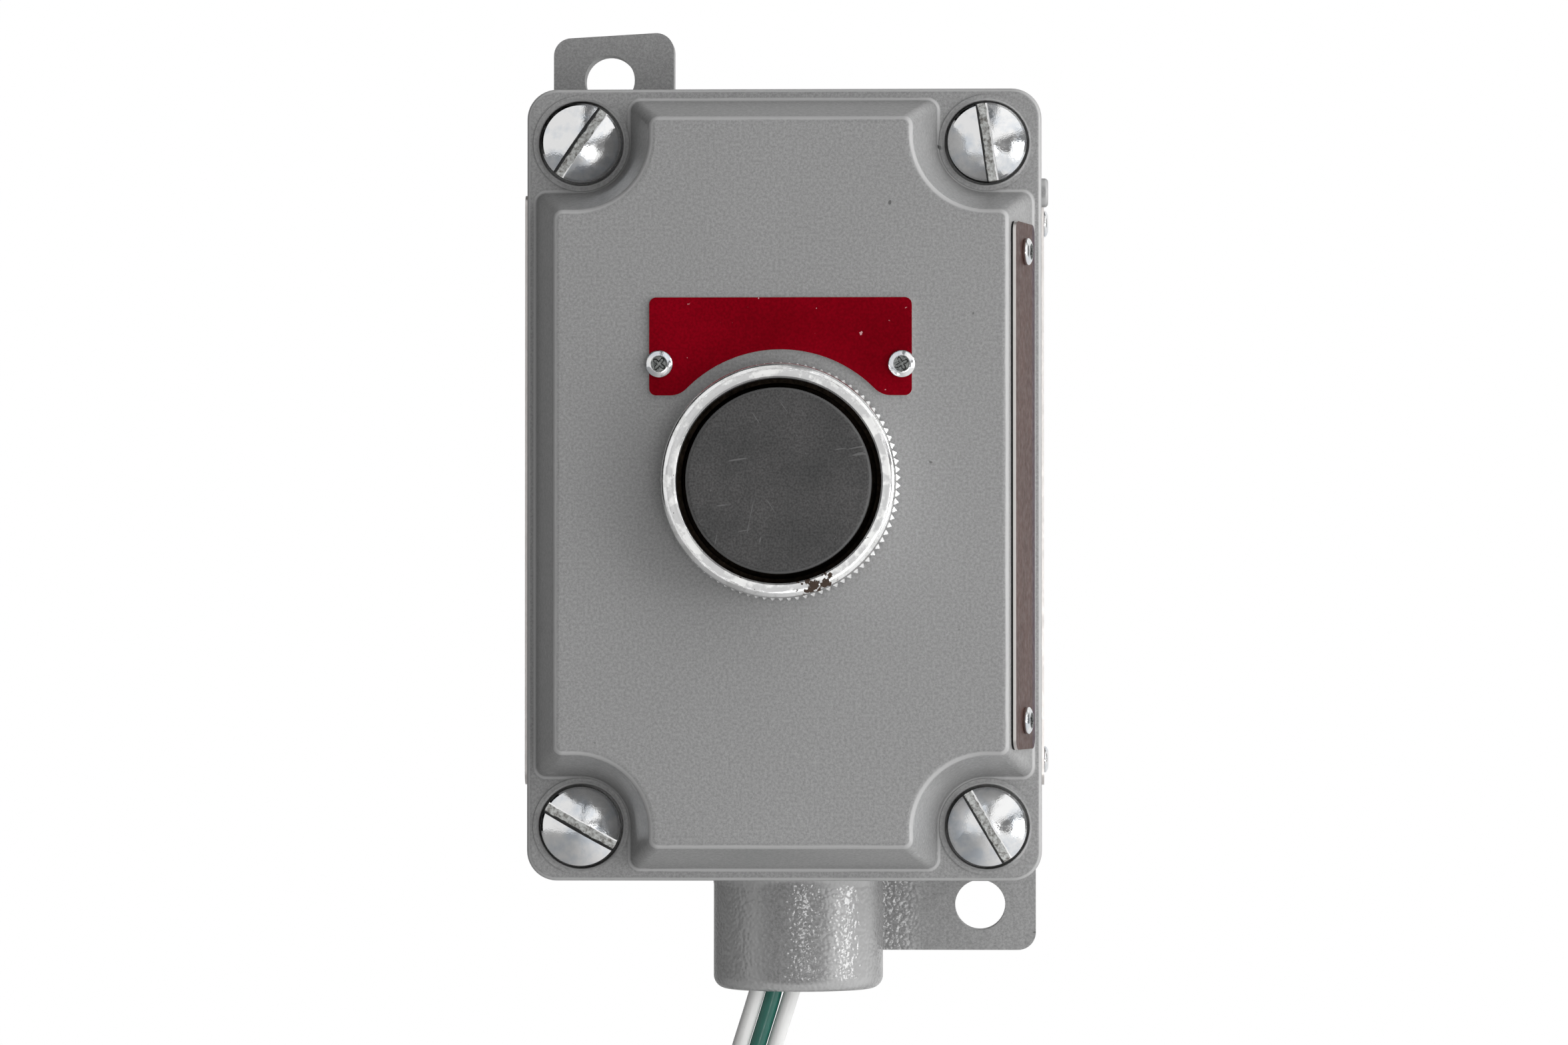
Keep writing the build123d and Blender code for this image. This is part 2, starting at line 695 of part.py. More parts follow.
def base_screws():
    seat = block_core_y + base_t
    pair = [small_screw(s * block_screw_x, s * base_screw_z, seat, 1, base_screw_reach) for s in (-1, 1)]
    return export(Compound(children=pair), "base_screws")


def contact_plunger():
    top_y = shaft_tip_y + plunger_gap
    rod_part = rod(0, 0, plunger_r, chamber_front_y + 0.2, top_y)
    flange = rod(0, 0, plunger_flange_r, chamber_front_y + plunger_flange_t, chamber_front_y)
    stem = rod(0, 0, plunger_stem_r, plunger_stem_end_y, chamber_front_y + plunger_flange_t)
    plunger = rod_part + flange + stem
    plunger = chamfer(plunger.edges().group_by(Axis.Y)[0], 0.4)
    return export(plunger, "contact_plunger")


bridge_front_y = chamber_front_y + plunger_flange_t
bridge_back_y = bridge_front_y + bridge_t
moving_tip_y = bridge_back_y + contact_tip_t
fixed_tip_y = moving_tip_y + travel + contact_gap_left


def contact_bridge():
    bar = slab(-bridge_w / 2, bridge_w / 2, bridge_front_y, bridge_back_y, -bridge_len / 2, bridge_len / 2)
    bar = fillet(bar.edges().filter_by(Axis.Y), 1.2)
    bar = bar - drill(0, 0, plunger_stem_r + fit_clear)
    for s in (-1, 1):
        bar = bar + rod(0, s * contact_z, contact_r, moving_tip_y, bridge_back_y - 0.1)
    return export(bar, "contact_bridge")


def contact_spring():
    spring = coil(cspring_mean_r, cspring_wire_r, cspring_turns, block_core_y - 0.05, bridge_back_y + 0.05)
    return export(spring, "contact_spring")


def fixed_contact(side, name):
    strip = slab(-strip_w / 2, strip_w / 2, block_end_y, block_end_y + strip_t, side * strip_in_z, side * strip_out_z)
    strip = fillet(strip.edges().filter_by(Axis.Y), 0.8)
    tip = rod(0, side * contact_z, contact_r, block_end_y + 0.2, fixed_tip_y)
    strip = strip + tip
    strip = strip - drill(0, side * term_z, term_screw_r + 0.15)
    return export(strip, name)


def terminal_clamp(side, name):
    y0 = block_end_y + strip_t
    z0 = side * (term_z - term_len / 2)
    z1 = side * (term_z + term_len / 2)
    clamp = slab(-strip_w / 2, strip_w / 2, y0, y0 + term_clamp_t, z0, z1)
    clamp = fillet(clamp.edges().filter_by(Axis.Y), 0.8)
    clamp = clamp - drill(0, side * term_z, term_screw_r + 0.15)
    return export(clamp, name)


def terminal_screw(side, name):
    seat = block_end_y + strip_t + term_clamp_t
    head = rod(0, side * term_z, term_head_r, seat + term_head_t, seat)
    head = fillet(head.edges().group_by(Axis.Y)[-1], 0.6)
    shank = rod(0, side * term_z, term_screw_r, seat, block_end_y - term_screw_reach)
    slot = Pos(0, seat + term_head_t, side * term_z) * Box(9, 1.8, 0.9)
    return export(head + shank - slot, name)


def drive_screw(frame):
    shank = Pos(0, 0, -(drive_reach - 0.5) / 2) * Cylinder(drive_shank_r, drive_reach - 0.3)
    return frame * (domed_head(drive_head_r, 0.45, drive_head_t - 0.45, 0.1) + shank)


def red_nameplate():
    half = red_w / 2
    tall = red_top_z - red_bottom_z
    plate = Pos(0, red_bottom_z + tall / 2) * Rectangle(red_w, tall)
    plate = plate - Circle(red_arc_r)
    tips = [v for v in plate.vertices() if abs(v.Y - red_bottom_z) < 1e-3 and abs(v.X) < half - 1]
    plate = fillet(tips, red_curve_r)
    corners = [v for v in plate.vertices() if abs(abs(v.X) - half) < 1e-3]
    plate = fillet(corners, red_corner_r)
    for s in (-1, 1):
        plate = plate - Pos(s * red_screw_x, red_screw_z) * Circle(drive_shank_r + 0.15)
    export(extrude(front(dome_top_y) * plate, amount=plate_t), "red_nameplate")
    seat = dome_top_y - plate_t
    pair = []
    for s in (-1, 1):
        pair.append(drive_screw(Plane(origin=(s * red_screw_x, seat, red_screw_z), x_dir=(1, 0, 0), z_dir=(0, -1, 0))))
    export(Compound(children=pair), "red_plate_drive_screws")


def dome_side_plate():
    wall = dome_wall_plane()
    outline = RectangleRounded(dome_plate_len, dome_plate_w, dome_plate_r)
    for dz in (-dome_screw_dz, dome_screw_dz):
        outline = outline - Pos(dz, 0) * Circle(drive_shank_r + 0.15)
    export(extrude(wall * outline, amount=plate_t), "dome_side_plate")
    pair = [drive_screw(wall * Pos(dz, 0, plate_t)) for dz in (-dome_screw_dz, dome_screw_dz)]
    export(Compound(children=pair), "dome_plate_drive_screws")


def side_face_x(y):
    return body_w / 2 - math.tan(math.radians(body_draft)) * (y + body_depth)


# The right plate lies on the drafted wall, the left one on its cast pad
def side_plate_frames():
    lean = math.radians(body_draft)
    left_x = -(body_w / 2 + side_pad_left)
    left = Plane(origin=(left_x, side_plate_y, side_plate_z), x_dir=(0, 0, 1), z_dir=(-1, 0, 0))
    right_x = side_face_x(side_plate_y) + plate_seat
    out = (math.cos(lean), math.sin(lean), 0)
    right = Plane(origin=(right_x, side_plate_y, side_plate_z), x_dir=(0, 0, 1), z_dir=out)
    return [("left", left), ("right", right)]


def body_side_plates():
    for side, frame in side_plate_frames():
        outline = RectangleRounded(side_plate_len, side_plate_w, side_plate_r)
        for dz in (-side_screw_dz, side_screw_dz):
            outline = outline - Pos(dz, 0) * Circle(drive_shank_r + 0.15)
        export(extrude(frame * outline, amount=plate_t), side + "_body_plate")
        pair = [drive_screw(frame * Pos(dz, 0, plate_t)) for dz in (-side_screw_dz, side_screw_dz)]
        export(Compound(children=pair), side + "_plate_drive_screws")


earth_seat_y = -wall_back - earth_boss_h
earth_lug_angle = -58.0


def earth_parts():
    ring = rod(earth_x, earth_z, earth_ring_r, earth_seat_y, earth_seat_y - earth_ring_t)
    turn = math.radians(earth_lug_angle)
    along = (math.cos(turn), math.sin(turn))
    neck = extrude(front(earth_seat_y) * Pos(earth_x + along[0] * 5, earth_z + along[1] * 5)
                   * Rot(0, 0, earth_lug_angle) * Rectangle(6, 4.2), amount=earth_ring_t)
    start = (earth_x + along[0] * 6.4, earth_seat_y - earth_barrel_r, earth_z + along[1] * 6.4)
    frame = Plane(origin=start, z_dir=(along[0], 0, along[1]))
    barrel = extrude(frame * Circle(earth_barrel_r), amount=earth_barrel_len)
    terminal = ring + neck + barrel
    terminal = terminal - drill(earth_x, earth_z, earth_screw_r + 0.15)
    export(terminal, "earth_terminal")
    seat = earth_seat_y - earth_ring_t
    head = extrude(front(seat) * Pos(earth_x, earth_z) * RegularPolygon(earth_head_r, 6), amount=earth_head_t)
    head = head - Pos(earth_x, seat - earth_head_t, earth_z) * Box(12, 2.2, 1.1)
    shank = rod(earth_x, earth_z, earth_screw_r, -2.6, seat)
    export(head + shank, "earth_screw")
    end = tuple(s + a * earth_barrel_len for s, a in zip(start, (along[0], 0, along[1])))
    return end, (along[0], 0, along[1])


def bend_radii(points):
    radii = []
    for i in range(1, len(points) - 1):
        a = Vector(*points[i]) - Vector(*points[i - 1])
        b = Vector(*points[i + 1]) - Vector(*points[i])
        half = math.radians(a.get_angle(b)) / 2
        radii.append(0.45 * min(a.length, b.length) / math.tan(half))
    return radii


def lead(points, name):
    radii = bend_radii(points)
    path = FilletPolyline(*points, radius=radii)
    tube = sweep(Plane(origin=path @ 0, z_dir=path % 0) * Circle(lead_r), path=path)
    print(name, "radii", [round(r, 1) for r in radii], "length", round(path.length, 1),
          "volume", round(tube.volume, 1), "section times length", round(math.pi * lead_r ** 2 * path.length, 1))
    return export(tube, name)


# Three leads, white, green, white, side by side through the hub and hanging below it
def leads(earth_end, earth_dir):
    turn_z = -66.0
    swing_z = -113.5
    mid_x = 2.8
    swing_x = -12.5
    lead_y = block_end_y + strip_t + term_clamp_t / 2
    term_end = term_z + term_len / 2
    left = [
        (0, lead_y, -term_end),
        (0, lead_y, -40.0),
        (mid_x - lead_pitch, hub_y, turn_z),
        (swing_x - lead_pitch, hub_y, swing_z),
        (-21.0, -19.5, -158.0),
        (-21.0, -18.0, -199.0),
        (-23.0, -17.5, -236.0),
    ]
    right = [
        (0, lead_y, term_end),
        (0, lead_y, 42.5),
        (22.0, -28.0, 42.0),
        (22.5, -22.0, 1.0),
        (12.0, -19.0, -38.0),
        (mid_x + lead_pitch, hub_y, turn_z),
        (swing_x + lead_pitch, hub_y, swing_z),
        (-9.5, -18.5, -156.0),
        (-7.5, -19.0, -197.0),
        (-9.0, -17.5, -233.0),
    ]
    step = 15.0
    second = tuple(e + step * d for e, d in zip(earth_end, earth_dir))
    earth = [
        earth_end,
        second,
        (mid_x, hub_y, turn_z),
        (swing_x, hub_y, swing_z),
        (-15.5, -16.5, -161.0),
        (-15.0, -17.0, -203.0),
        (-16.0, -19.0, -238.0),
    ]
    lead(left, "lead_white_left")
    lead(earth, "lead_green")
    lead(right, "lead_white_right")


os.makedirs("parts", exist_ok=True)
body_casting()
cover_casting()
cover_screws()
operator_bushing()
operator_gasket()
lock_nut()
bezel_ring()
ring_seal()
button_cap()
button_shaft()
shaft_clip()
return_spring()
mounting_strap()
strap_screws()
housing_screws()
contact_housing()
housing_base()
base_screws()
contact_plunger()
contact_bridge()
contact_spring()
fixed_contact(1, "fixed_contact_upper")
fixed_contact(-1, "fixed_contact_lower")
terminal_clamp(1, "terminal_clamp_upper")
terminal_clamp(-1, "terminal_clamp_lower")
terminal_screw(1, "terminal_screw_upper")
terminal_screw(-1, "terminal_screw_lower")
red_nameplate()
dome_side_plate()
body_side_plates()
leads(*earth_parts())
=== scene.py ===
import math

import bmesh
import bpy
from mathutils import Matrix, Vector


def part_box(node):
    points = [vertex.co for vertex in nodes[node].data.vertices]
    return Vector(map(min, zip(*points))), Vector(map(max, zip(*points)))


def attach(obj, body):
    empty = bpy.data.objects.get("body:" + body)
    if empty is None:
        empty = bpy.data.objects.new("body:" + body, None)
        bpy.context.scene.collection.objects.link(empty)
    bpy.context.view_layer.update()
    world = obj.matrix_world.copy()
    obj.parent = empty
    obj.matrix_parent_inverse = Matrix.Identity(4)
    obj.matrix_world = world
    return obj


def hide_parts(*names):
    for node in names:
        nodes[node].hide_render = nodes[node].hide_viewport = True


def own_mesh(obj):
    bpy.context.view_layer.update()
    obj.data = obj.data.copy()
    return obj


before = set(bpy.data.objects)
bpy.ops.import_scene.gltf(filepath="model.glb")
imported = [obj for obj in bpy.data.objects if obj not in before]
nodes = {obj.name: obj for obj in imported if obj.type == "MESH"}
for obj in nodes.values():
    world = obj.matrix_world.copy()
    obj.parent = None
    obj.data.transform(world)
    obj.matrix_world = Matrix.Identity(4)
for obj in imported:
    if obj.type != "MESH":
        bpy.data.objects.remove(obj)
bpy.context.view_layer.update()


# Camera. The switch was photographed from a metre away with a long lens, from a
# little to the right of the button's axis and a little below the middle of the cover.
frame_width = 0.2513
camera_distance = 1.0
camera_aim = Vector((0.0, -0.063, -0.0061))
camera_azimuth = math.radians(1.8)
camera_elevation = math.radians(-0.9)
camera_data = bpy.data.cameras.new("photo_camera")
camera_data.sensor_width = 36.0
camera_data.lens = camera_data.sensor_width * camera_distance / frame_width
camera_data.clip_end = 10.0
camera = bpy.data.objects.new("photo_camera", camera_data)
bpy.context.scene.collection.objects.link(camera)
camera_way = Vector((math.sin(camera_azimuth) * math.cos(camera_elevation),
                     -math.cos(camera_azimuth) * math.cos(camera_elevation),
                     math.sin(camera_elevation)))
camera.location = camera_aim + camera_distance * camera_way
camera.rotation_euler = camera_way.to_track_quat("Z", "Y").to_euler()
bpy.context.scene.camera = camera
bpy.context.scene.view_settings.view_transform = "Standard"


# Leads. Three stranded 16 AWG wires in smooth thermoplastic, white, green and white. They
# run from the terminals and the earthing screw down through the hub and hang below it.
lead_radius = 0.00135
lead_routes = {
    "white_lead_left": ("lead_white_left", 0.218, [
        (0, -33.5, -23.6), (0, -33.5, -40), (-0.1, -18, -66), (-15.4, -18, -113.5),
        (-21, -19.5, -158), (-21, -18, -199), (-23, -17.5, -236)]),
    "green_lead": ("lead_green", 0.210, [
        (-14.37, -11.1, -34.21), (-6.42, -11.1, -46.93), (2.8, -18, -66), (-12.5, -18, -113.5),
        (-15.5, -16.5, -161), (-15, -17, -203), (-16, -19, -238)]),
    "white_lead_right": ("lead_white_right", 0.313, [
        (0, -33.5, 23.6), (0, -33.5, 42.5), (22, -28, 42), (22.5, -22, 1), (12, -19, -38),
        (5.7, -18, -66), (-9.6, -18, -113.5), (-9.5, -18.5, -156), (-7.5, -19, -197),
        (-9, -17.5, -233)]),
}


def shader(tree, kind, values=None, **settings):
    made = tree.nodes.new("ShaderNode" + kind)
    for name, value in settings.items():
        setattr(made, name, value)
    for socket, value in (values or {}).items():
        made.inputs[socket].default_value = value
    return made


def finish_of(name, color, roughness, metallic=0.0):
    material = bpy.data.materials.new(name)
    material.use_nodes = True
    surface = material.node_tree.nodes["Principled BSDF"]
    surface.inputs["Base Color"].default_value = (*color, 1)
    surface.inputs["Roughness"].default_value = roughness
    surface.inputs["Metallic"].default_value = metallic
    return material, material.node_tree, surface


def grain(tree, scale, detail=3.0, rough=0.55, stretch=(1, 1, 1)):
    place = shader(tree, "TexCoord")
    sized = shader(tree, "Mapping")
    sized.inputs["Scale"].default_value = stretch
    cloud = shader(tree, "TexNoise", {"Scale": scale, "Detail": detail, "Roughness": rough})
    tree.links.new(place.outputs["Object"], sized.inputs["Vector"])
    tree.links.new(sized.outputs["Vector"], cloud.inputs["Vector"])
    return cloud.outputs["Fac"]


def ramp(tree, source, stops):
    band = shader(tree, "ValToRGB")
    steps = band.color_ramp.elements
    while len(steps) < len(stops):
        steps.new(0.5)
    for step, (place, color) in zip(steps, stops):
        step.position = place
        step.color = (*color, 1) if hasattr(color, "__len__") else (color, color, color, 1)
    tree.links.new(source, band.inputs["Fac"])
    return band.outputs["Color"]


def over(tree, share, below, above, blend="MIX"):
    mixed = shader(tree, "Mix", data_type="RGBA", blend_type=blend)
    for socket, value in ((mixed.inputs[0], share), (mixed.inputs[6], below), (mixed.inputs[7], above)):
        if hasattr(value, "links"):
            tree.links.new(value, socket)
        elif hasattr(value, "__len__"):
            socket.default_value = (*value, 1)
        else:
            socket.default_value = value
    return mixed.outputs[2]


def bumps(tree, surface, heights):
    below = None
    for height, strength, depth in heights:
        bump = shader(tree, "Bump", {"Strength": strength, "Distance": depth})
        tree.links.new(height, bump.inputs["Height"])
        if below:
            tree.links.new(below, bump.inputs["Normal"])
        below = bump.outputs["Normal"]
    tree.links.new(below, surface.inputs["Normal"])


def insulation(name, color, shade):
    material, tree, surface = finish_of(name, color, 0.34)
    cloudy = ramp(tree, grain(tree, 160, 4), [(0.3, shade), (0.7, color)])
    scuffs = ramp(tree, grain(tree, 900, 2, stretch=(1, 1, 0.12)), [(0.62, 0.0), (0.75, 1.0)])
    dusty = over(tree, scuffs, cloudy, [0.5 * c + 0.28 for c in color])
    tree.links.new(over(tree, 0.12, cloudy, dusty), surface.inputs["Base Color"])
    sheen = ramp(tree, grain(tree, 420), [(0.3, 0.26), (0.7, 0.44)])
    tree.links.new(sheen, surface.inputs["Roughness"])
    bumps(tree, surface, [(grain(tree, 700), 0.12, 0.0002)])
    return material


white_insulation = insulation("white_insulation", (0.86, 0.86, 0.85), (0.78, 0.78, 0.77))
green_insulation = insulation("green_insulation", (0.020, 0.150, 0.115), (0.012, 0.110, 0.085))
strand_copper, strand_tree, strand_surface = finish_of("strand_copper", (0.72, 0.36, 0.20), 0.3, 1.0)
strand_tint = ramp(strand_tree, grain(strand_tree, 1200),
                   [(0.3, (0.60, 0.27, 0.14)), (0.7, (0.80, 0.44, 0.27))])
strand_tree.links.new(strand_tint, strand_surface.inputs["Base Color"])
bumps(strand_tree, strand_surface, [(grain(strand_tree, 2500), 0.2, 0.0001)])


def nurbs_line(name, points, radius, steps):
    curve = bpy.data.curves.new(name, "CURVE")
    curve.dimensions = "3D"
    curve.bevel_depth = radius
    curve.bevel_resolution = 5
    curve.use_fill_caps = True
    curve.resolution_u = steps
    line = curve.splines.new("NURBS")
    line.points.add(len(points) - 1)
    for control, point in zip(line.points, points):
        control.co = (*point, 1)
    line.order_u = 3
    line.use_endpoint_u = True
    piece = bpy.data.objects.new(name, curve)
    bpy.context.scene.collection.objects.link(piece)
    return piece


def piece_from(form, name, *materials):
    bmesh.ops.recalc_face_normals(form, faces=form.faces)
    mesh = bpy.data.meshes.new(name)
    form.to_mesh(mesh)
    form.free()
    for material in materials:
        mesh.materials.append(material)
    piece = bpy.data.objects.new(name, mesh)
    bpy.context.scene.collection.objects.link(piece)
    return piece


strand_radius = 0.00026
strand_count = 7
strand_length = 0.0085
strand_overlap = 0.0006
strand_steps = 14
strand_corners = 8
strand_twist = 1.9
strand_flare = 0.18
for lead_name, (lead_node, lead_length, lead_route) in lead_routes.items():
    lead_points = [Vector(p) / 1000 for p in lead_route]
    lead = nurbs_line(lead_name, lead_points, lead_radius, 16)
    lead.data.materials.append(green_insulation if "green" in lead_name else white_insulation)
    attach(lead, "enclosure")
    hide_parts(lead_node)

    # stripped end: one strand in the middle and six laid round it with a slow twist
    lead_end = lead_points[-1]
    down = (lead_end - lead_points[-2]).normalized()
    side = down.cross(Vector((0, 1, 0))).normalized()
    front = down.cross(side)
    bundle = bmesh.new()
    for strand in range(strand_count):
        lay_radius = 0.0 if strand == 0 else 2.05 * strand_radius
        ring_before = None
        for step in range(strand_steps + 1):
            along = step / strand_steps
            turn = 2 * math.pi * (strand / (strand_count - 1)) + strand_twist * along
            spread = lay_radius * (1 + strand_flare * along ** 2)
            middle = lead_end + down * (along * strand_length - strand_overlap)
            middle += side * spread * math.cos(turn) + front * spread * math.sin(turn)
            ring = []
            for corner in range(strand_corners):
                angle = 2 * math.pi * corner / strand_corners
                rim = side * math.cos(angle) + front * math.sin(angle)
                ring.append(bundle.verts.new(middle + strand_radius * rim))
            if ring_before:
                for corner in range(strand_corners):
                    bundle.faces.new((ring_before[corner], ring_before[corner - 1],
                                      ring[corner - 1], ring[corner]))
            else:
                bundle.faces.new(ring)
            ring_before = ring
        bundle.faces.new(list(reversed(ring_before)))
    strands = piece_from(bundle, lead_name + "_strands", strand_copper)
    strands.data.shade_smooth()
    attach(strands, "enclosure")


# Box casting. An iron alloy casting with two lugs, a hub and screw bosses, sprayed with a
# satin grey enamel that lies over the rough sand-cast skin, pebbled most on the hub.
def dress(node_name, material):
    piece = nodes[node_name]
    piece.data.materials.clear()
    piece.data.materials.append(material)


def number(tree, operation, first, second=0.0, third=0.0):
    worked = shader(tree, "Math", operation=operation)
    for socket, value in zip(worked.inputs, (first, second, third)):
        if hasattr(value, "links"):
            tree.links.new(value, socket)
        else:
            socket.default_value = value
    return worked.outputs["Value"]


def between(tree, source, low, high, from_value=0.0, to_value=1.0):
    limits = {"From Min": low, "From Max": high, "To Min": from_value, "To Max": to_value}
    band = shader(tree, "MapRange", limits, interpolation_type="SMOOTHSTEP")
    tree.links.new(source, band.inputs["Value"])
    return band.outputs["Result"]


def place_parts(tree):
    place = shader(tree, "TexCoord")
    parts = shader(tree, "SeparateXYZ")
    tree.links.new(place.outputs["Object"], parts.inputs["Vector"])
    return parts.outputs["X"], parts.outputs["Y"], parts.outputs["Z"]


# thin scratches lie along one direction and show only in a few loose patches
def scratches(tree, angle, size, sparse):
    place = shader(tree, "TexCoord")
    turned = shader(tree, "Mapping", vector_type="TEXTURE")
    turned.inputs["Rotation"].default_value = (0, angle, 0)
    turned.inputs["Scale"].default_value = (1, 1, 16)
    lines = shader(tree, "TexNoise", {"Scale": size, "Detail": 1.0})
    tree.links.new(place.outputs["Object"], turned.inputs["Vector"])
    tree.links.new(turned.outputs["Vector"], lines.inputs["Vector"])
    thin = between(tree, lines.outputs["Fac"], 0.735, 0.765)
    return number(tree, "MULTIPLY", thin, between(tree, grain(tree, 75, 1.0), sparse, sparse + 0.03))


# 1 where the surface faces the front or the back, 0 where it faces a side
def facing_front(tree):
    shape = shader(tree, "NewGeometry")
    parts = shader(tree, "SeparateXYZ")
    tree.links.new(shape.outputs["Normal"], parts.inputs["Vector"])
    return number(tree, "ABSOLUTE", parts.outputs["Y"])


# painted highlight: the enamel is painted a little paler over a rounded edge, where the surface turns away
def painted_edge_highlight(tree):
    facing = facing_front(tree)
    off_side = between(tree, facing, 0.30, 0.62)
    off_front = between(tree, facing, 0.86, 0.985, 1.0, 0.0)
    return number(tree, "MULTIPLY", off_side, off_front)


def grey_enamel(name, peel, peel_size, base, pebbles=False):
    material, tree, surface = finish_of(name, base, 0.42)
    fine = ramp(tree, grain(tree, 2300, 2.0, 0.75), [(0.36, 0.84), (0.64, 1.17)])
    broad = ramp(tree, grain(tree, 26, 3.0), [(0.3, 0.965), (0.7, 1.03)])
    tinted = over(tree, 1.0, base, fine, "MULTIPLY")
    tinted = over(tree, 1.0, tinted, broad, "MULTIPLY")
    # rounded edges take the painted highlight
    tinted = over(tree, painted_edge_highlight(tree), tinted, [1.6 * c for c in base])
    for angle, size, sparse in ((0.7, 1500, 0.66), (-1.0, 1300, 0.67), (1.5, 1100, 0.67)):
        tinted = over(tree, scratches(tree, angle, size, sparse), tinted, [1.75 * c for c in base])
    pits = ramp(tree, grain(tree, 420, 1.0), [(0.175, 1.0), (0.195, 0.0)])
    tinted = over(tree, pits, tinted, [0.4 * c for c in base])
    tree.links.new(tinted, surface.inputs["Base Color"])
    sheen = ramp(tree, grain(tree, 1500, 2.0), [(0.3, 0.34), (0.7, 0.50)])
    tree.links.new(sheen, surface.inputs["Roughness"])
    peel_height = grain(tree, peel_size, 2.0)
    heights = [(peel_height, 0.5, peel), (grain(tree, 2300, 2.0, 0.75), 0.25, 0.00006)]
    if pebbles:
        across, _, up = place_parts(tree)
        below_box = between(tree, up, -0.0632, -0.0648)
        left_of_lug = between(tree, across, 0.0165, 0.0240, 1.0, 0.0)
        on_hub = number(tree, "MULTIPLY", below_box, left_of_lug)
        stones = shader(tree, "TexVoronoi", {"Scale": 1500.0, "Smoothness": 0.7}, feature="SMOOTH_F1")
        place = shader(tree, "TexCoord")
        tree.links.new(place.outputs["Object"], stones.inputs["Vector"])
        rounded = number(tree, "SUBTRACT", 1.0, stones.outputs["Distance"])
        heights.append((number(tree, "MULTIPLY", rounded, on_hub), 0.8, 0.00015))
        tree.links.new(over(tree, on_hub, sheen, (0.14, 0.14, 0.14)), surface.inputs["Roughness"])
    bumps(tree, surface, heights)
    return material


box_enamel = grey_enamel("box_enamel", 0.00030, 420, (0.275, 0.275, 0.275), pebbles=True)
dress("body_casting", box_enamel)


# Earthing point. A green dyed hexagon screw in the back wall holds a tinned ring terminal
# crimped on the green lead.
def plain_metal(name, dark, light, roughness, size=900, scratch=0.00008):
    material, tree, surface = finish_of(name, light, roughness, 1.0)
    tint = ramp(tree, grain(tree, size), [(0.3, dark), (0.7, light)])
    tree.links.new(tint, surface.inputs["Base Color"])
    worn = ramp(tree, grain(tree, 2.2 * size, 2.0), [(0.3, 0.75 * roughness), (0.7, 1.35 * roughness)])
    tree.links.new(worn, surface.inputs["Roughness"])
    bumps(tree, surface, [(grain(tree, 1.6 * size, 2.0), 0.3, scratch)])
    return material


green_zinc = plain_metal("green_zinc", (0.012, 0.13, 0.05), (0.02, 0.22, 0.08), 0.32)
tinned_lug = plain_metal("tinned_lug", (0.55, 0.55, 0.53), (0.72, 0.71, 0.69), 0.3)
dress("earth_screw", green_zinc)
dress("earth_terminal", tinned_lug)


# Contact block. A brown-black phenolic housing and base hold two copper fixed contacts with
# brass saddle clamps, and a red moulded plunger carries the copper bridge between them.
def moulding(name, dark, light, roughness, size):
    material, tree, surface = finish_of(name, light, roughness)
    flecks = ramp(tree, grain(tree, size, 4.0), [(0.35, dark), (0.7, light)])
    tree.links.new(flecks, surface.inputs["Base Color"])
    sheen = ramp(tree, grain(tree, 3 * size), [(0.3, 0.8 * roughness), (0.7, 1.2 * roughness)])
    tree.links.new(sheen, surface.inputs["Roughness"])
    bumps(tree, surface, [(grain(tree, 2 * size), 0.3, 0.0001)])
    return material


phenolic = moulding("phenolic", (0.018, 0.011, 0.008), (0.050, 0.032, 0.024), 0.38, 420)
plunger_moulding = moulding("plunger_moulding", (0.26, 0.02, 0.012), (0.36, 0.04, 0.025), 0.42, 500)
contact_copper = plain_metal("contact_copper", (0.60, 0.30, 0.18), (0.82, 0.48, 0.30), 0.28)
clamp_brass = plain_metal("clamp_brass", (0.50, 0.38, 0.18), (0.72, 0.58, 0.32), 0.3)
zinc_strap = plain_metal("zinc_strap", (0.50, 0.50, 0.48), (0.68, 0.68, 0.66), 0.34)
spring_wire = plain_metal("spring_wire", (0.32, 0.32, 0.33), (0.50, 0.50, 0.51), 0.3)
for block_node in ("contact_housing", "housing_base"):
    dress(block_node, phenolic)
dress("contact_plunger", plunger_moulding)
for copper_node in ("contact_bridge", "fixed_contact_upper", "fixed_contact_lower"):
    dress(copper_node, contact_copper)
for clamp_node in ("terminal_clamp_upper", "terminal_clamp_lower"):
    dress(clamp_node, clamp_brass)


# Springs. Both are wound from round steel wire with open ends. The front end follows the button
# and the back end stands still, so each spring is squeezed towards its back end.
wire_corners = 10


def squeezed_spring(name, node_name, mean_radius, wire_radius, turns, steps_per_turn):
    low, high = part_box(node_name)
    back_y = high[1] - wire_radius
    rise = high[1] - low[1] - 2 * wire_radius
    coil_slope = -rise / (2 * math.pi * turns * mean_radius)
    steps = int(turns * steps_per_turn)
    form = bmesh.new()
    rows = []
    for step in range(steps + 1):
        turn = 2 * math.pi * turns * step / steps
        outward = Vector((math.cos(turn), 0, math.sin(turn)))
        middle = outward * mean_radius + Vector((0, back_y - rise * step / steps, 0))
        ahead = Vector((-math.sin(turn), coil_slope, math.cos(turn))).normalized()
        across = ahead.cross(outward)
        row = []
        for corner in range(wire_corners):
            angle = 2 * math.pi * corner / wire_corners
            rim = outward * math.cos(angle) + across * math.sin(angle)
            row.append(form.verts.new(middle + wire_radius * rim))
        rows.append(row)
    for before, after in zip(rows, rows[1:]):
        for corner in range(wire_corners):
            form.faces.new((before[corner], before[corner - 1], after[corner - 1], after[corner]))
    form.faces.new(rows[0])
    form.faces.new(rows[-1])
    spring = piece_from(form, name, spring_wire)
    spring.data.shade_smooth()
    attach(spring, "enclosure")
    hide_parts(node_name)
    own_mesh(spring)


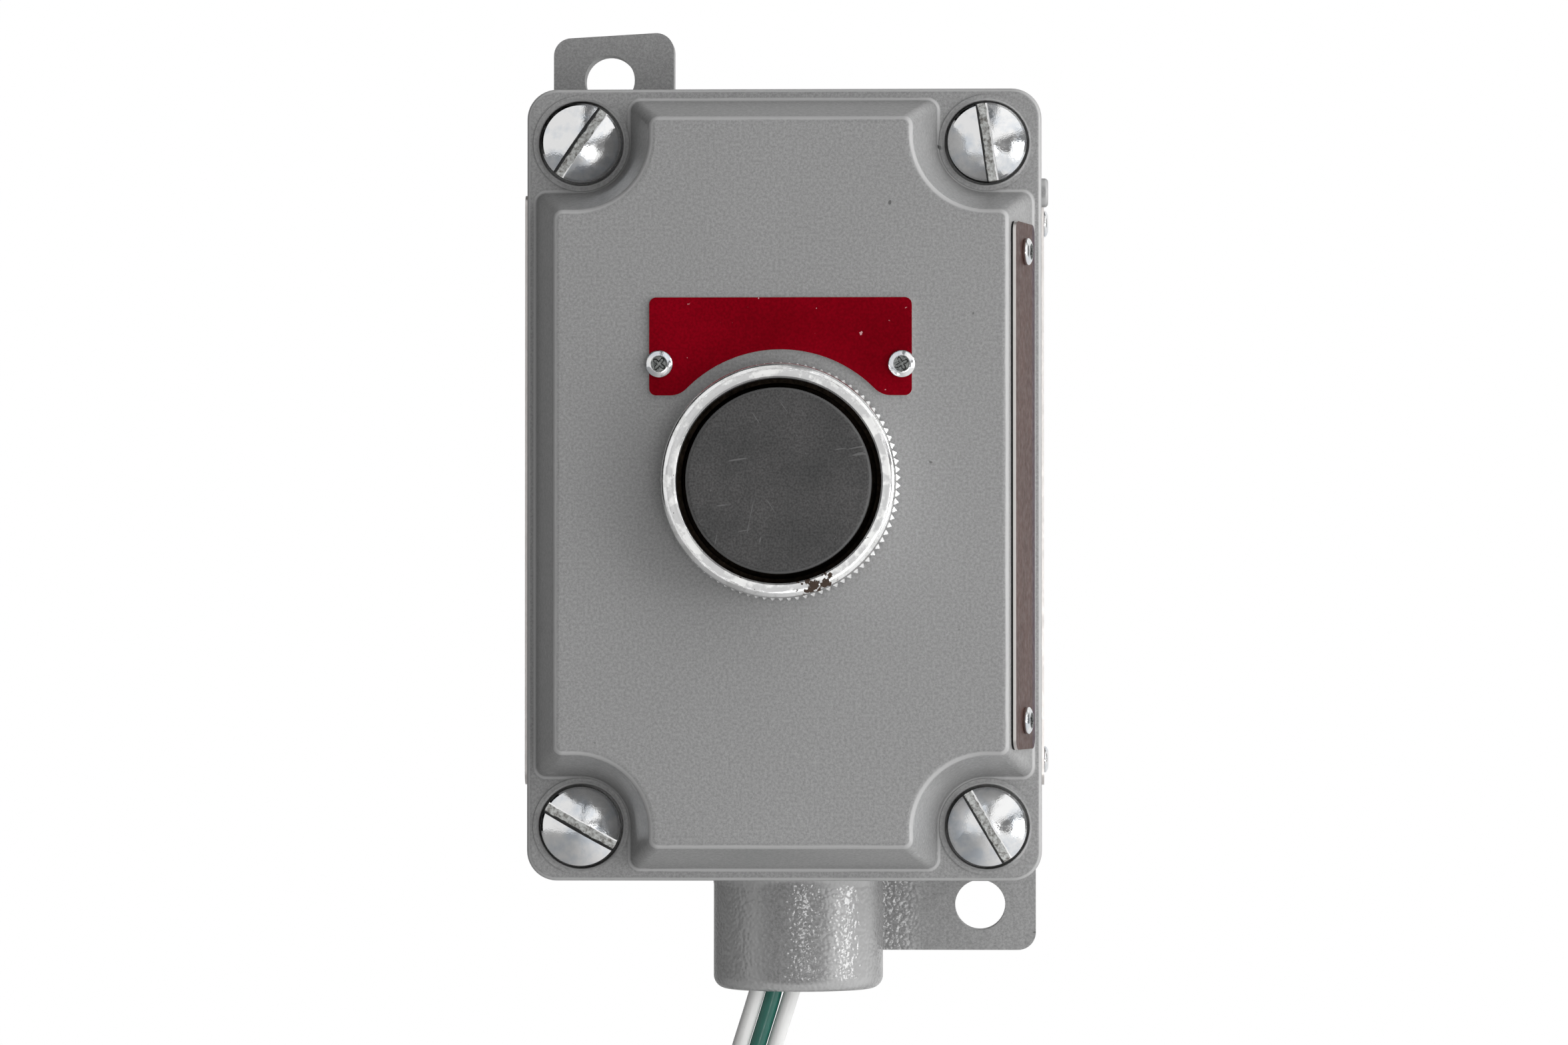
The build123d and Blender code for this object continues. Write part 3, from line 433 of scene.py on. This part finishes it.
squeezed_spring("return_coil", "return_spring",
                mean_radius=0.0104, wire_radius=0.0006, turns=4.5, steps_per_turn=48)
squeezed_spring("contact_coil", "contact_spring",
                mean_radius=0.0030, wire_radius=0.00035, turns=6.5, steps_per_turn=32)


# Strap and inner screws. A zinc-plated steel strap on the cover's two posts carries the
# block, all held by slotted machine screws.
for strap_node in ("mounting_strap", "strap_screws", "housing_screws", "base_screws",
                   "terminal_screw_upper", "terminal_screw_lower"):
    dress(strap_node, zinc_strap)


# Cover casting. The same alloy and enamel, smoother than the box: a ground joint flange
# under a drafted plateau that is cut back round the four screws.
cover_enamel = grey_enamel("cover_enamel", 0.00010, 900, (0.280, 0.280, 0.280))
dress("cover_casting", cover_enamel)


# Cover screws. Zinc-plated steel fillister heads with mottled chromate, each stopped at its
# own angle in a spot-faced counterbore.
screw_x = 0.03255
screw_z = 0.05475
bright_zinc, zinc_tree, zinc_surface = finish_of("bright_zinc", (0.84, 0.85, 0.86), 0.12, 1.0)
zinc_cloud = ramp(zinc_tree, grain(zinc_tree, 330, 4.0),
                  [(0.34, (0.66, 0.70, 0.75)), (0.56, (0.86, 0.86, 0.86))])
zinc_tree.links.new(zinc_cloud, zinc_surface.inputs["Base Color"])
zinc_gloss = ramp(zinc_tree, grain(zinc_tree, 900, 3.0), [(0.35, 0.07), (0.65, 0.22)])
zinc_tree.links.new(zinc_gloss, zinc_surface.inputs["Roughness"])
bumps(zinc_tree, zinc_surface, [(grain(zinc_tree, 160, 2.0), 0.22, 0.00022),
                                (grain(zinc_tree, 4200, 1.0), 0.30, 0.00004)])


# the slot's floor lies flat and deep and is darker and duller than the crown; a painted
# shade line runs beside one wall and a painted highlight line along the other
def slot_shade_and_highlight(name, head_x, head_z, angle):
    material = bright_zinc.copy()
    material.name = name
    tree = material.node_tree
    surface = tree.nodes["Principled BSDF"]
    across, deep, up = place_parts(tree)
    on_floor = between(tree, deep, -0.0648, -0.0643)
    turned = math.radians(angle)
    along_x = number(tree, "MULTIPLY", number(tree, "SUBTRACT", across, head_x), math.sin(turned))
    along_z = number(tree, "MULTIPLY", number(tree, "SUBTRACT", up, head_z), -math.cos(turned))
    from_middle = number(tree, "SUBTRACT", number(tree, "ADD", along_x, along_z), 0.0003)
    from_middle = number(tree, "MULTIPLY_ADD", grain(tree, 650, 3.0), 0.0006, from_middle)
    # painted highlight along one wall of the slot and painted shade along the other
    painted_highlight_line = between(tree, from_middle, 0.00062, 0.00070)
    painted_shade_line = between(tree, from_middle, -0.00066, -0.00054, 1.0, 0.0)
    streaks = ramp(tree, grain(tree, 1500, 4.0, 0.75),
                   [(0.34, (0.13, 0.12, 0.11)), (0.60, (0.52, 0.53, 0.52))])
    streaks = over(tree, painted_highlight_line, streaks, (0.95, 0.95, 0.95))
    streaks = over(tree, painted_shade_line, streaks, (0.04, 0.04, 0.04))
    plated = surface.inputs["Base Color"].links[0].from_socket
    tree.links.new(over(tree, on_floor, plated, streaks), surface.inputs["Base Color"])
    glossy = surface.inputs["Roughness"].links[0].from_socket
    tree.links.new(over(tree, on_floor, glossy, (0.5, 0.5, 0.5)), surface.inputs["Roughness"])
    return material


for corner_name, head_x, head_z, slot_angle in (("top_left", -screw_x, screw_z, 55.0),
                                                ("top_right", screw_x, screw_z, 98.6),
                                                ("bottom_left", -screw_x, -screw_z, 150.6),
                                                ("bottom_right", screw_x, -screw_z, 120.7)):
    slotted_zinc = slot_shade_and_highlight("slotted_zinc_" + corner_name, head_x, head_z, slot_angle)
    dress("cover_screw_" + corner_name, slotted_zinc)


# Operator. A blackened steel bushing sealed by a gasket and locked by a brass nut inside the
# cover, with a plated ring nut on its head. The ring is worn, chipped and scratched by use.
turned_brass = plain_metal("turned_brass", (0.48, 0.34, 0.13), (0.66, 0.50, 0.24), 0.3)
black_oxide = plain_metal("black_oxide", (0.006, 0.005, 0.004), (0.014, 0.010, 0.007), 0.5)
dress("operator_bushing", black_oxide)
dress("lock_nut", turned_brass)
black_rubber = moulding("black_rubber", (0.008, 0.008, 0.008), (0.018, 0.018, 0.018), 0.75, 600)
dress("operator_gasket", black_rubber)
dress("ring_seal", black_rubber)
for shaft_node in ("button_shaft", "shaft_clip"):
    dress(shaft_node, zinc_strap)


def turning_lines(tree, scale):
    place = shader(tree, "TexCoord")
    flat = shader(tree, "VectorMath", operation="MULTIPLY")
    flat.inputs[1].default_value = (1, 0, 1)
    reach = shader(tree, "VectorMath", operation="LENGTH")
    lines = shader(tree, "TexNoise", {"Scale": scale, "Detail": 2.0}, noise_dimensions="1D")
    tree.links.new(place.outputs["Object"], flat.inputs[0])
    tree.links.new(flat.outputs["Vector"], reach.inputs[0])
    tree.links.new(reach.outputs["Value"], lines.inputs["W"])
    return lines.outputs["Fac"], reach.outputs["Value"]


def patch_at(tree, middle, size):
    place = shader(tree, "TexCoord")
    away = shader(tree, "VectorMath", operation="DISTANCE")
    away.inputs[1].default_value = middle
    tree.links.new(place.outputs["Object"], away.inputs[0])
    near = shader(tree, "MapRange", {"From Min": 0.0, "From Max": size, "To Min": 1.0, "To Max": 0.0})
    tree.links.new(away.outputs["Value"], near.inputs["Value"])
    return near.outputs["Result"]


# radii between which the dull inner face gives way to the bright rim, and the rim to the teeth
rim_starts = (0.01790, 0.01803)
teeth_start = (0.01838, 0.01845)
chip_place = (0.0058, -0.0915, -0.0163)
chip_size = 0.0052
worn_plating, ring_tree, ring_surface = finish_of("worn_plating", (0.80, 0.80, 0.80), 0.25, 1.0)
ring_turning, ring_reach = turning_lines(ring_tree, 2600)
ring_lines = ramp(ring_tree, ring_turning, [(0.3, 0.84), (0.7, 1.05)])
ring_tint = over(ring_tree, 1.0, (0.98, 0.98, 0.98), ring_lines, "MULTIPLY")
ring_wobble = number(ring_tree, "MULTIPLY", grain(ring_tree, 300, 4.0, 0.7), 0.0011)
ring_wavy = number(ring_tree, "ADD", ring_reach, ring_wobble)
ring_inner = between(ring_tree, ring_wavy, *rim_starts, 1.0, 0.0)
ring_tint = over(ring_tree, ring_inner, ring_tint, (0.50, 0.50, 0.50))
ring_rubbed = ramp(ring_tree, grain(ring_tree, 240, 5.0, 0.65), [(0.50, 0.0), (0.56, 1.0)])
ring_tint = over(ring_tree, number(ring_tree, "MULTIPLY", ring_rubbed, 0.8), ring_tint, (0.74, 0.74, 0.73))
ring_chip_near = patch_at(ring_tree, chip_place, chip_size)
ring_chip_grain = number(ring_tree, "MULTIPLY_ADD", ring_chip_near, 0.30, grain(ring_tree, 1150, 3.0, 0.6))
ring_chips = ramp(ring_tree, ring_chip_grain, [(0.715, 0.0), (0.735, 1.0)])
ring_tint = over(ring_tree, ring_chips, ring_tint, (0.045, 0.026, 0.016))
ring_tree.links.new(ring_tint, ring_surface.inputs["Base Color"])
ring_bare = shader(ring_tree, "Invert")
ring_tree.links.new(ring_chips, ring_bare.inputs["Color"])
ring_tree.links.new(ring_bare.outputs["Color"], ring_surface.inputs["Metallic"])
ring_gloss = ramp(ring_tree, grain(ring_tree, 500, 4.0), [(0.35, 0.14), (0.7, 0.30)])
ring_gloss = over(ring_tree, ring_inner, ring_gloss, (0.42, 0.42, 0.42))
ring_teeth = between(ring_tree, ring_reach, *teeth_start)
ring_gloss = over(ring_tree, ring_teeth, ring_gloss, (0.55, 0.55, 0.55))
ring_gloss = over(ring_tree, ring_chips, ring_gloss, (0.8, 0.8, 0.8))
ring_tree.links.new(ring_gloss, ring_surface.inputs["Roughness"])
bumps(ring_tree, ring_surface, [(ring_turning, 0.22, 0.00010), (grain(ring_tree, 700, 3.0), 0.25, 0.00010),
                                (ring_bare.outputs["Color"], 0.6, 0.0001)])
dress("bezel_ring", worn_plating)


# Button. A flat black moulded cap with a rounded rim, pressed on its shaft. Thumbs have dulled
# it and left faint rubs, fine scratches and dust.
button_black, button_tree, button_surface = finish_of("button_black", (0.058, 0.058, 0.058), 0.6)
button_surface.inputs["Specular IOR Level"].default_value = 0.3
button_rubs = ramp(button_tree, grain(button_tree, 130, 5.0, 0.6),
                   [(0.3, (0.048, 0.048, 0.048)), (0.7, (0.071, 0.069, 0.069))])
button_fine = ramp(button_tree, grain(button_tree, 3000, 2.0), [(0.36, 0.66), (0.64, 1.34)])
button_tint = over(button_tree, 1.0, button_rubs, button_fine, "MULTIPLY")
button_dust = ramp(button_tree, grain(button_tree, 1500, 2.0), [(0.72, 0.0), (0.77, 1.0)])
button_tint = over(button_tree, button_dust, button_tint, (0.15, 0.15, 0.15))
button_wear_and_highlight = (0.125, 0.125, 0.125)
# the rounded rim is painted paler, partly as wear and partly as a painted highlight on the turned edge;
# the scratches take the same paler grey
button_rim = between(button_tree, facing_front(button_tree), 0.70, 0.96, 1.0, 0.0)
button_tint = over(button_tree, button_rim, button_tint, button_wear_and_highlight)
for angle, size, sparse in ((0.8, 2200, 0.58), (-0.6, 2400, 0.58), (1.4, 2000, 0.60), (0.2, 2100, 0.60)):
    button_scratch = scratches(button_tree, angle, size, sparse)
    button_tint = over(button_tree, button_scratch, button_tint, button_wear_and_highlight)
button_tree.links.new(button_tint, button_surface.inputs["Base Color"])
button_gloss = ramp(button_tree, grain(button_tree, 700), [(0.3, 0.46), (0.7, 0.64)])
button_tree.links.new(button_gloss, button_surface.inputs["Roughness"])
bumps(button_tree, button_surface, [(grain(button_tree, 2200, 2.0), 0.35, 0.00005)])
dress("button_cap", button_black)


# Plates. A red anodised aluminium plate over the button and etched brown ones on the dome's
# slope and the box sides, bare here, with their sheared edges in plain metal.
def bare_edge(tree, surface, outward, color):
    shape = shader(tree, "NewGeometry")
    lean = shader(tree, "VectorMath", operation="DOT_PRODUCT")
    lean.inputs[1].default_value = outward
    tree.links.new(shape.outputs["Normal"], lean.inputs[0])
    sheared = between(tree, number(tree, "ABSOLUTE", lean.outputs["Value"]), 0.5, 0.8, 1.0, 0.0)
    tree.links.new(over(tree, sheared, color, (0.74, 0.71, 0.69)), surface.inputs["Base Color"])
    tree.links.new(sheared, surface.inputs["Metallic"])


red_anodised, red_tree, red_surface = finish_of("red_anodised", (0.19, 0.002, 0.008), 0.30)
red_surface.inputs["Specular IOR Level"].default_value = 0.01
red_depth = ramp(red_tree, grain(red_tree, 55, 3.0),
                 [(0.3, (0.168, 0.0005, 0.005)), (0.7, (0.245, 0.0009, 0.008))])
red_fleck = ramp(red_tree, grain(red_tree, 2300, 2.0), [(0.36, 0.85), (0.64, 1.15)])
red_depth = over(red_tree, 1.0, red_depth, red_fleck, "MULTIPLY")
red_specks = ramp(red_tree, grain(red_tree, 1000, 2.0), [(0.735, 0.0), (0.765, 1.0)])
bare_edge(red_tree, red_surface, (0, -1, 0), over(red_tree, red_specks, red_depth, (0.62, 0.35, 0.36)))
red_gloss = ramp(red_tree, grain(red_tree, 800), [(0.3, 0.26), (0.7, 0.40)])
red_tree.links.new(red_gloss, red_surface.inputs["Roughness"])
bumps(red_tree, red_surface, [(grain(red_tree, 1500), 0.2, 0.00005)])
dress("red_nameplate", red_anodised)


def etched_plate(name, outward):
    material, tree, surface = finish_of(name, (0.145, 0.100, 0.092), 0.45)
    surface.inputs["Specular IOR Level"].default_value = 0.12
    tint = ramp(tree, grain(tree, 200, 4.0, stretch=(1, 1, 0.35)),
                [(0.3, (0.055, 0.028, 0.023)), (0.7, (0.082, 0.044, 0.037))])
    fleck = ramp(tree, grain(tree, 2300, 2.0), [(0.36, 0.86), (0.64, 1.14)])
    tint = over(tree, 1.0, tint, fleck, "MULTIPLY")
    # the plate on the slope is darker along its lower edge
    if outward[1]:
        _, deep, _ = place_parts(tree)
        tint = over(tree, between(tree, deep, -0.0672, -0.0664), tint, (0.050, 0.028, 0.040))
    bare_edge(tree, surface, outward, tint)
    sheen = ramp(tree, grain(tree, 900), [(0.3, 0.34), (0.7, 0.50)])
    tree.links.new(sheen, surface.inputs["Roughness"])
    bumps(tree, surface, [(grain(tree, 1800), 0.2, 0.00005)])
    return material


slope_out = (0.97437, -0.22495, 0)
slope_plate_back = (0.05322, 0.05330)
slope_plate_brown = etched_plate("slope_plate_brown", slope_out)
slope_tree = slope_plate_brown.node_tree
slope_surface = slope_tree.nodes["Principled BSDF"]

# the plate's edge is lifted off the slope a little, so its lower part lies in a black shadow
slope_place = shader(slope_tree, "TexCoord")
slope_lift = shader(slope_tree, "VectorMath", operation="DOT_PRODUCT")
slope_lift.inputs[1].default_value = slope_out
slope_tree.links.new(slope_place.outputs["Object"], slope_lift.inputs[0])
slope_shadow = between(slope_tree, slope_lift.outputs["Value"], *slope_plate_back, 1.0, 0.0)
slope_bare = slope_surface.inputs["Base Color"].links[0].from_socket
slope_metal = slope_surface.inputs["Metallic"].links[0].from_socket
slope_dark = over(slope_tree, slope_shadow, slope_bare, (0.004, 0.004, 0.004))
slope_tree.links.new(slope_dark, slope_surface.inputs["Base Color"])
slope_lit = number(slope_tree, "SUBTRACT", 1.0, slope_shadow)
slope_shine = number(slope_tree, "MULTIPLY", slope_metal, slope_lit)
slope_tree.links.new(slope_shine, slope_surface.inputs["Metallic"])
dress("dome_side_plate", slope_plate_brown)
side_plate_brown = etched_plate("side_plate_brown", (1, 0, 0))
for plate_node in ("left_body_plate", "right_body_plate"):
    dress(plate_node, side_plate_brown)


# Drive screws. Hardened nails with a twisted shank and a domed head, bright zinc, hammered
# in through the plates. A round stamped recess with four lobes marks each crown.
nail_r = 0.00215
nail_side = 0.00035
nail_crown = 0.00085
shank_r = 0.0012
shank_length = 0.0038
stamp_r = 0.00118
stamp_depth = 0.00016
cross_r = 0.00070
cross_lobe = 0.00034
cross_depth = 0.00028
recess_blur = 0.00005
cross_wall_half = 0.00009
recess_rows = 12
nail_steps = 56
stamp_dull, stamp_tree, stamp_surface = finish_of("stamp_dull", (0.33, 0.34, 0.34), 0.45, 1.0)
stamp_tint = ramp(stamp_tree, grain(stamp_tree, 2600, 3.0),
                  [(0.35, (0.08, 0.085, 0.085)), (0.65, (0.24, 0.25, 0.24))])
stamp_tree.links.new(stamp_tint, stamp_surface.inputs["Base Color"])
bumps(stamp_tree, stamp_surface, [(grain(stamp_tree, 3500, 2.0), 0.4, 0.00006)])


# painted shade: the cross's walls are painted dark, being too steep to shine
cross_wall_shade = plain_metal("cross_wall_shade", (0.02, 0.02, 0.02), (0.06, 0.06, 0.06), 0.5)


def lobe_edge(turn):
    return cross_r + cross_lobe * math.cos(4 * turn)


def crown_height(r, turn):
    crown = nail_side + nail_crown * math.sqrt(max(0.0, 1 - (r / (1.04 * nail_r)) ** 2))
    stamped = 1 / (1 + math.exp((r - stamp_r) / recess_blur))
    cross = 1 / (1 + math.exp((r - lobe_edge(turn)) / recess_blur))
    return crown - stamp_depth * stamped - cross_depth * cross


def drive_nails(name, node_name, heads):
    form = bmesh.new()
    radii = [nail_r * share for share in (0.06, 0.14, 0.20, 0.26, 0.31, 0.36, 0.41, 0.46, 0.50, 0.53,
                                          0.56, 0.60, 0.66, 0.74, 0.82, 0.89, 0.95, 0.985, 1.0)]
    for seat, outward, spin in heads:
        out = Vector(outward).normalized()
        up = Vector((0, 0, 1))
        side = up.cross(out)
        middle = Vector(seat)
        center = form.verts.new(middle + out * crown_height(0, 0))
        turns = [2 * math.pi * step / nail_steps for step in range(nail_steps)]
        ways = [side * math.cos(turn + spin) + up * math.sin(turn + spin) for turn in turns]
        rows = []
        for r in radii:
            rows.append([form.verts.new(middle + r * way + out * crown_height(r, turn))
                         for turn, way in zip(turns, ways)])
        for r, depth in ((nail_r, 0.0), (shank_r, 0.0), (shank_r, -shank_length)):
            rows.append([form.verts.new(middle + out * depth + r * way) for way in ways])
        for step in range(nail_steps):
            after = (step + 1) % nail_steps
            face = form.faces.new((center, rows[0][step], rows[0][after]))
            face.material_index = 1
            for inner in range(len(rows) - 1):
                outer = inner + 1
                face = form.faces.new((rows[inner][step], rows[outer][step],
                                       rows[outer][after], rows[inner][after]))
                face.smooth = True
                if outer < recess_rows:
                    turn = 2 * math.pi * (step + 0.5) / nail_steps
                    from_wall = (radii[inner] + radii[outer]) / 2 - lobe_edge(turn)
                    # faces along the cross's walls take the painted shade
                    face.material_index = 2 if abs(from_wall) < cross_wall_half else 1
        form.faces.new(rows[-1])
    nails = piece_from(form, name, bright_zinc, stamp_dull, cross_wall_shade)
    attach(nails, "enclosure")
    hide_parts(node_name)


drive_nails("red_plate_nails", "red_plate_drive_screws",
            [((-0.0191, -0.0808, 0.0186), (0, -1, 0), 0.9),
             ((0.0191, -0.0808, 0.0186), (0, -1, 0), 0.5)])
drive_nails("slope_plate_nails", "dome_plate_drive_screws",
            [((0.038617, -0.07168, 0.03675), slope_out, 0.4),
             ((0.038617, -0.07168, -0.03765), slope_out, 1.1)])
drive_nails("left_plate_nails", "left_plate_drive_screws",
            [((-0.04265, -0.0315, 0.0437), (-1, 0, 0), 0.2),
             ((-0.04265, -0.0315, -0.0447), (-1, 0, 0), 0.7)])
drive_nails("right_plate_nails", "right_plate_drive_screws",
            [((0.041619, -0.03149, 0.0437), (1, 0.01047, 0), 0.6),
             ((0.041619, -0.03149, -0.0447), (1, 0.01047, 0), 0.1)])


# Studio. Two soft lamps, one from the right and one beside the camera, both a little low, in
# a white surround with bright panels, and a pale sweep far behind and below the switch.
def lamp(name, place, width, watts):
    light = bpy.data.lights.new(name, "AREA")
    light.size = width
    light.energy = watts
    fixture = bpy.data.objects.new(name, light)
    fixture.location = place
    fixture.rotation_euler = (Vector(place) - Vector((0, -0.04, 0))).to_track_quat("Z", "Y").to_euler()
    bpy.context.scene.collection.objects.link(fixture)


lamp("side_softbox", (1.15, -0.90, -0.25), 0.8, 5.2)
lamp("front_softbox", (0.235, -1.60, -0.26), 0.36, 4.2)

world = bpy.data.worlds.new("studio")
bpy.context.scene.world = world
world.use_nodes = True
world_tree = world.node_tree
world_light = world_tree.nodes["Background"]
# polished metal shows bright panels all round the camera, with dark gaps between them to the
# right, above, below and behind, and the dark camera in the middle
world_way = shader(world_tree, "TexCoord")
world_parts = shader(world_tree, "SeparateXYZ")
world_tree.links.new(world_way.outputs["Generated"], world_parts.inputs["Vector"])
sky_x = world_parts.outputs["X"]
sky_z = world_parts.outputs["Z"]
sky_turn = number(world_tree, "ARCTAN2", sky_z, sky_x)


def gap_at(turn, full, none):
    away = number(world_tree, "ABSOLUTE", number(world_tree, "SUBTRACT", sky_turn, turn))
    return between(world_tree, away, full, none, 1.0, 0.0)


gap_right = gap_at(0.0, 0.32, 0.44)
gap_below = gap_at(-1.48, 0.13, 0.24)
gap_above = gap_at(1.42, 0.08, 0.18)
sky_reach = number(world_tree, "ADD", number(world_tree, "MULTIPLY", sky_x, sky_x),
                   number(world_tree, "MULTIPLY", sky_z, sky_z))
gap_middle = between(world_tree, number(world_tree, "SQRT", sky_reach), 0.09, 0.17, 1.0, 0.0)
gaps = number(world_tree, "MAXIMUM", number(world_tree, "MAXIMUM", gap_right, gap_below),
              number(world_tree, "MAXIMUM", gap_above, gap_middle))
sky_y = world_parts.outputs["Y"]
pale_back = number(world_tree, "MULTIPLY", between(world_tree, sky_y, 0.02, 0.18),
                   between(world_tree, sky_x, -0.1, 0.3))
gap_side = number(world_tree, "MULTIPLY", between(world_tree, sky_y, -0.35, -0.05),
                  number(world_tree, "SUBTRACT", 1.0, pale_back))
gaps = number(world_tree, "MAXIMUM", gaps, gap_side)
panels = number(world_tree, "MULTIPLY_ADD", gaps, -0.84, between(world_tree, sky_x, -0.2, 0.2, 0.84, 1.05))
# a tall narrow light stands far to the right
sky_round = number(world_tree, "ARCTAN2", sky_x, number(world_tree, "MULTIPLY", sky_y, -1.0))
tall_light = number(world_tree, "MULTIPLY", between(world_tree, sky_round, 1.14, 1.19),
                    between(world_tree, sky_round, 1.31, 1.36, 1.0, 0.0))
tall_light = number(world_tree, "MULTIPLY", tall_light,
                    between(world_tree, number(world_tree, "ABSOLUTE", sky_z), 0.35, 0.50, 1.0, 0.0))
panels = number(world_tree, "MULTIPLY_ADD", tall_light, 13.0, panels)

# the surround lights the object mostly from the right; the camera sees it plain white
world_rays = shader(world_tree, "LightPath")
world_soft = between(world_tree, sky_x, 0.04, 0.40, 0.16, 1.66)
world_fall = number(world_tree, "MULTIPLY_ADD", sky_z, -0.14, 1.0)
world_soft = number(world_tree, "MULTIPLY", world_soft, world_fall)
world_level = number(world_tree, "MULTIPLY_ADD", world_rays.outputs["Is Camera Ray"],
                     number(world_tree, "SUBTRACT", 1.0, world_soft), world_soft)
shown_panels = shader(world_tree, "Mix", data_type="FLOAT")
world_tree.links.new(world_rays.outputs["Is Glossy Ray"], shown_panels.inputs[0])
world_tree.links.new(world_level, shown_panels.inputs[2])
world_tree.links.new(panels, shown_panels.inputs[3])
world_tree.links.new(shown_panels.outputs[0], world_light.inputs["Strength"])
world_light.inputs["Color"].default_value = (1, 1, 1, 1)

sweep_floor_z = -0.34
sweep_front_y = -1.6
sweep_wall_y = 0.9
sweep_top_z = 1.4
sweep_half_width = 1.8
sweep_bend = 0.25
sweep_bend_steps = 12
sweep_form = bmesh.new()
sweep_profile = [(sweep_front_y, sweep_floor_z), (sweep_wall_y - sweep_bend, sweep_floor_z)]
for step in range(1, sweep_bend_steps):
    angle = math.pi / 2 * step / sweep_bend_steps
    sweep_profile.append((sweep_wall_y - sweep_bend + sweep_bend * math.sin(angle),
                          sweep_floor_z + sweep_bend * (1 - math.cos(angle))))
sweep_profile += [(sweep_wall_y, sweep_floor_z + sweep_bend), (sweep_wall_y, sweep_top_z)]
sweep_left = [sweep_form.verts.new((-sweep_half_width, y, z)) for y, z in sweep_profile]
sweep_right = [sweep_form.verts.new((sweep_half_width, y, z)) for y, z in sweep_profile]
for step in range(len(sweep_profile) - 1):
    sweep_form.faces.new((sweep_left[step], sweep_right[step],
                          sweep_right[step + 1], sweep_left[step + 1]))
sweep_mesh = bpy.data.meshes.new("studio_sweep")
sweep_form.to_mesh(sweep_mesh)
sweep_form.free()
sweep_mesh.shade_smooth()
sweep = bpy.data.objects.new("studio_sweep", sweep_mesh)
bpy.context.scene.collection.objects.link(sweep)
sweep_white, sweep_tree, sweep_surface = finish_of("sweep_white", (0.45, 0.45, 0.45), 0.9)
sweep_glow = shader(sweep_tree, "Emission", {"Color": (1, 1, 1, 1), "Strength": 1.0})
sweep_across, _, _ = place_parts(sweep_tree)
sweep_soft = between(sweep_tree, sweep_across, -0.2, 0.3, 0.08, 0.82)
sweep_mix = shader(sweep_tree, "MixShader")
sweep_tree.links.new(sweep_soft, sweep_mix.inputs["Fac"])
sweep_tree.links.new(sweep_surface.outputs["BSDF"], sweep_mix.inputs[1])
sweep_tree.links.new(sweep_glow.outputs["Emission"], sweep_mix.inputs[2])
sweep_tree.links.new(sweep_mix.outputs["Shader"], sweep_tree.nodes["Material Output"].inputs["Surface"])
sweep_mesh.materials.append(sweep_white)
# it only throws light: from every side the camera looks through it at the white surround
sweep.visible_camera = False
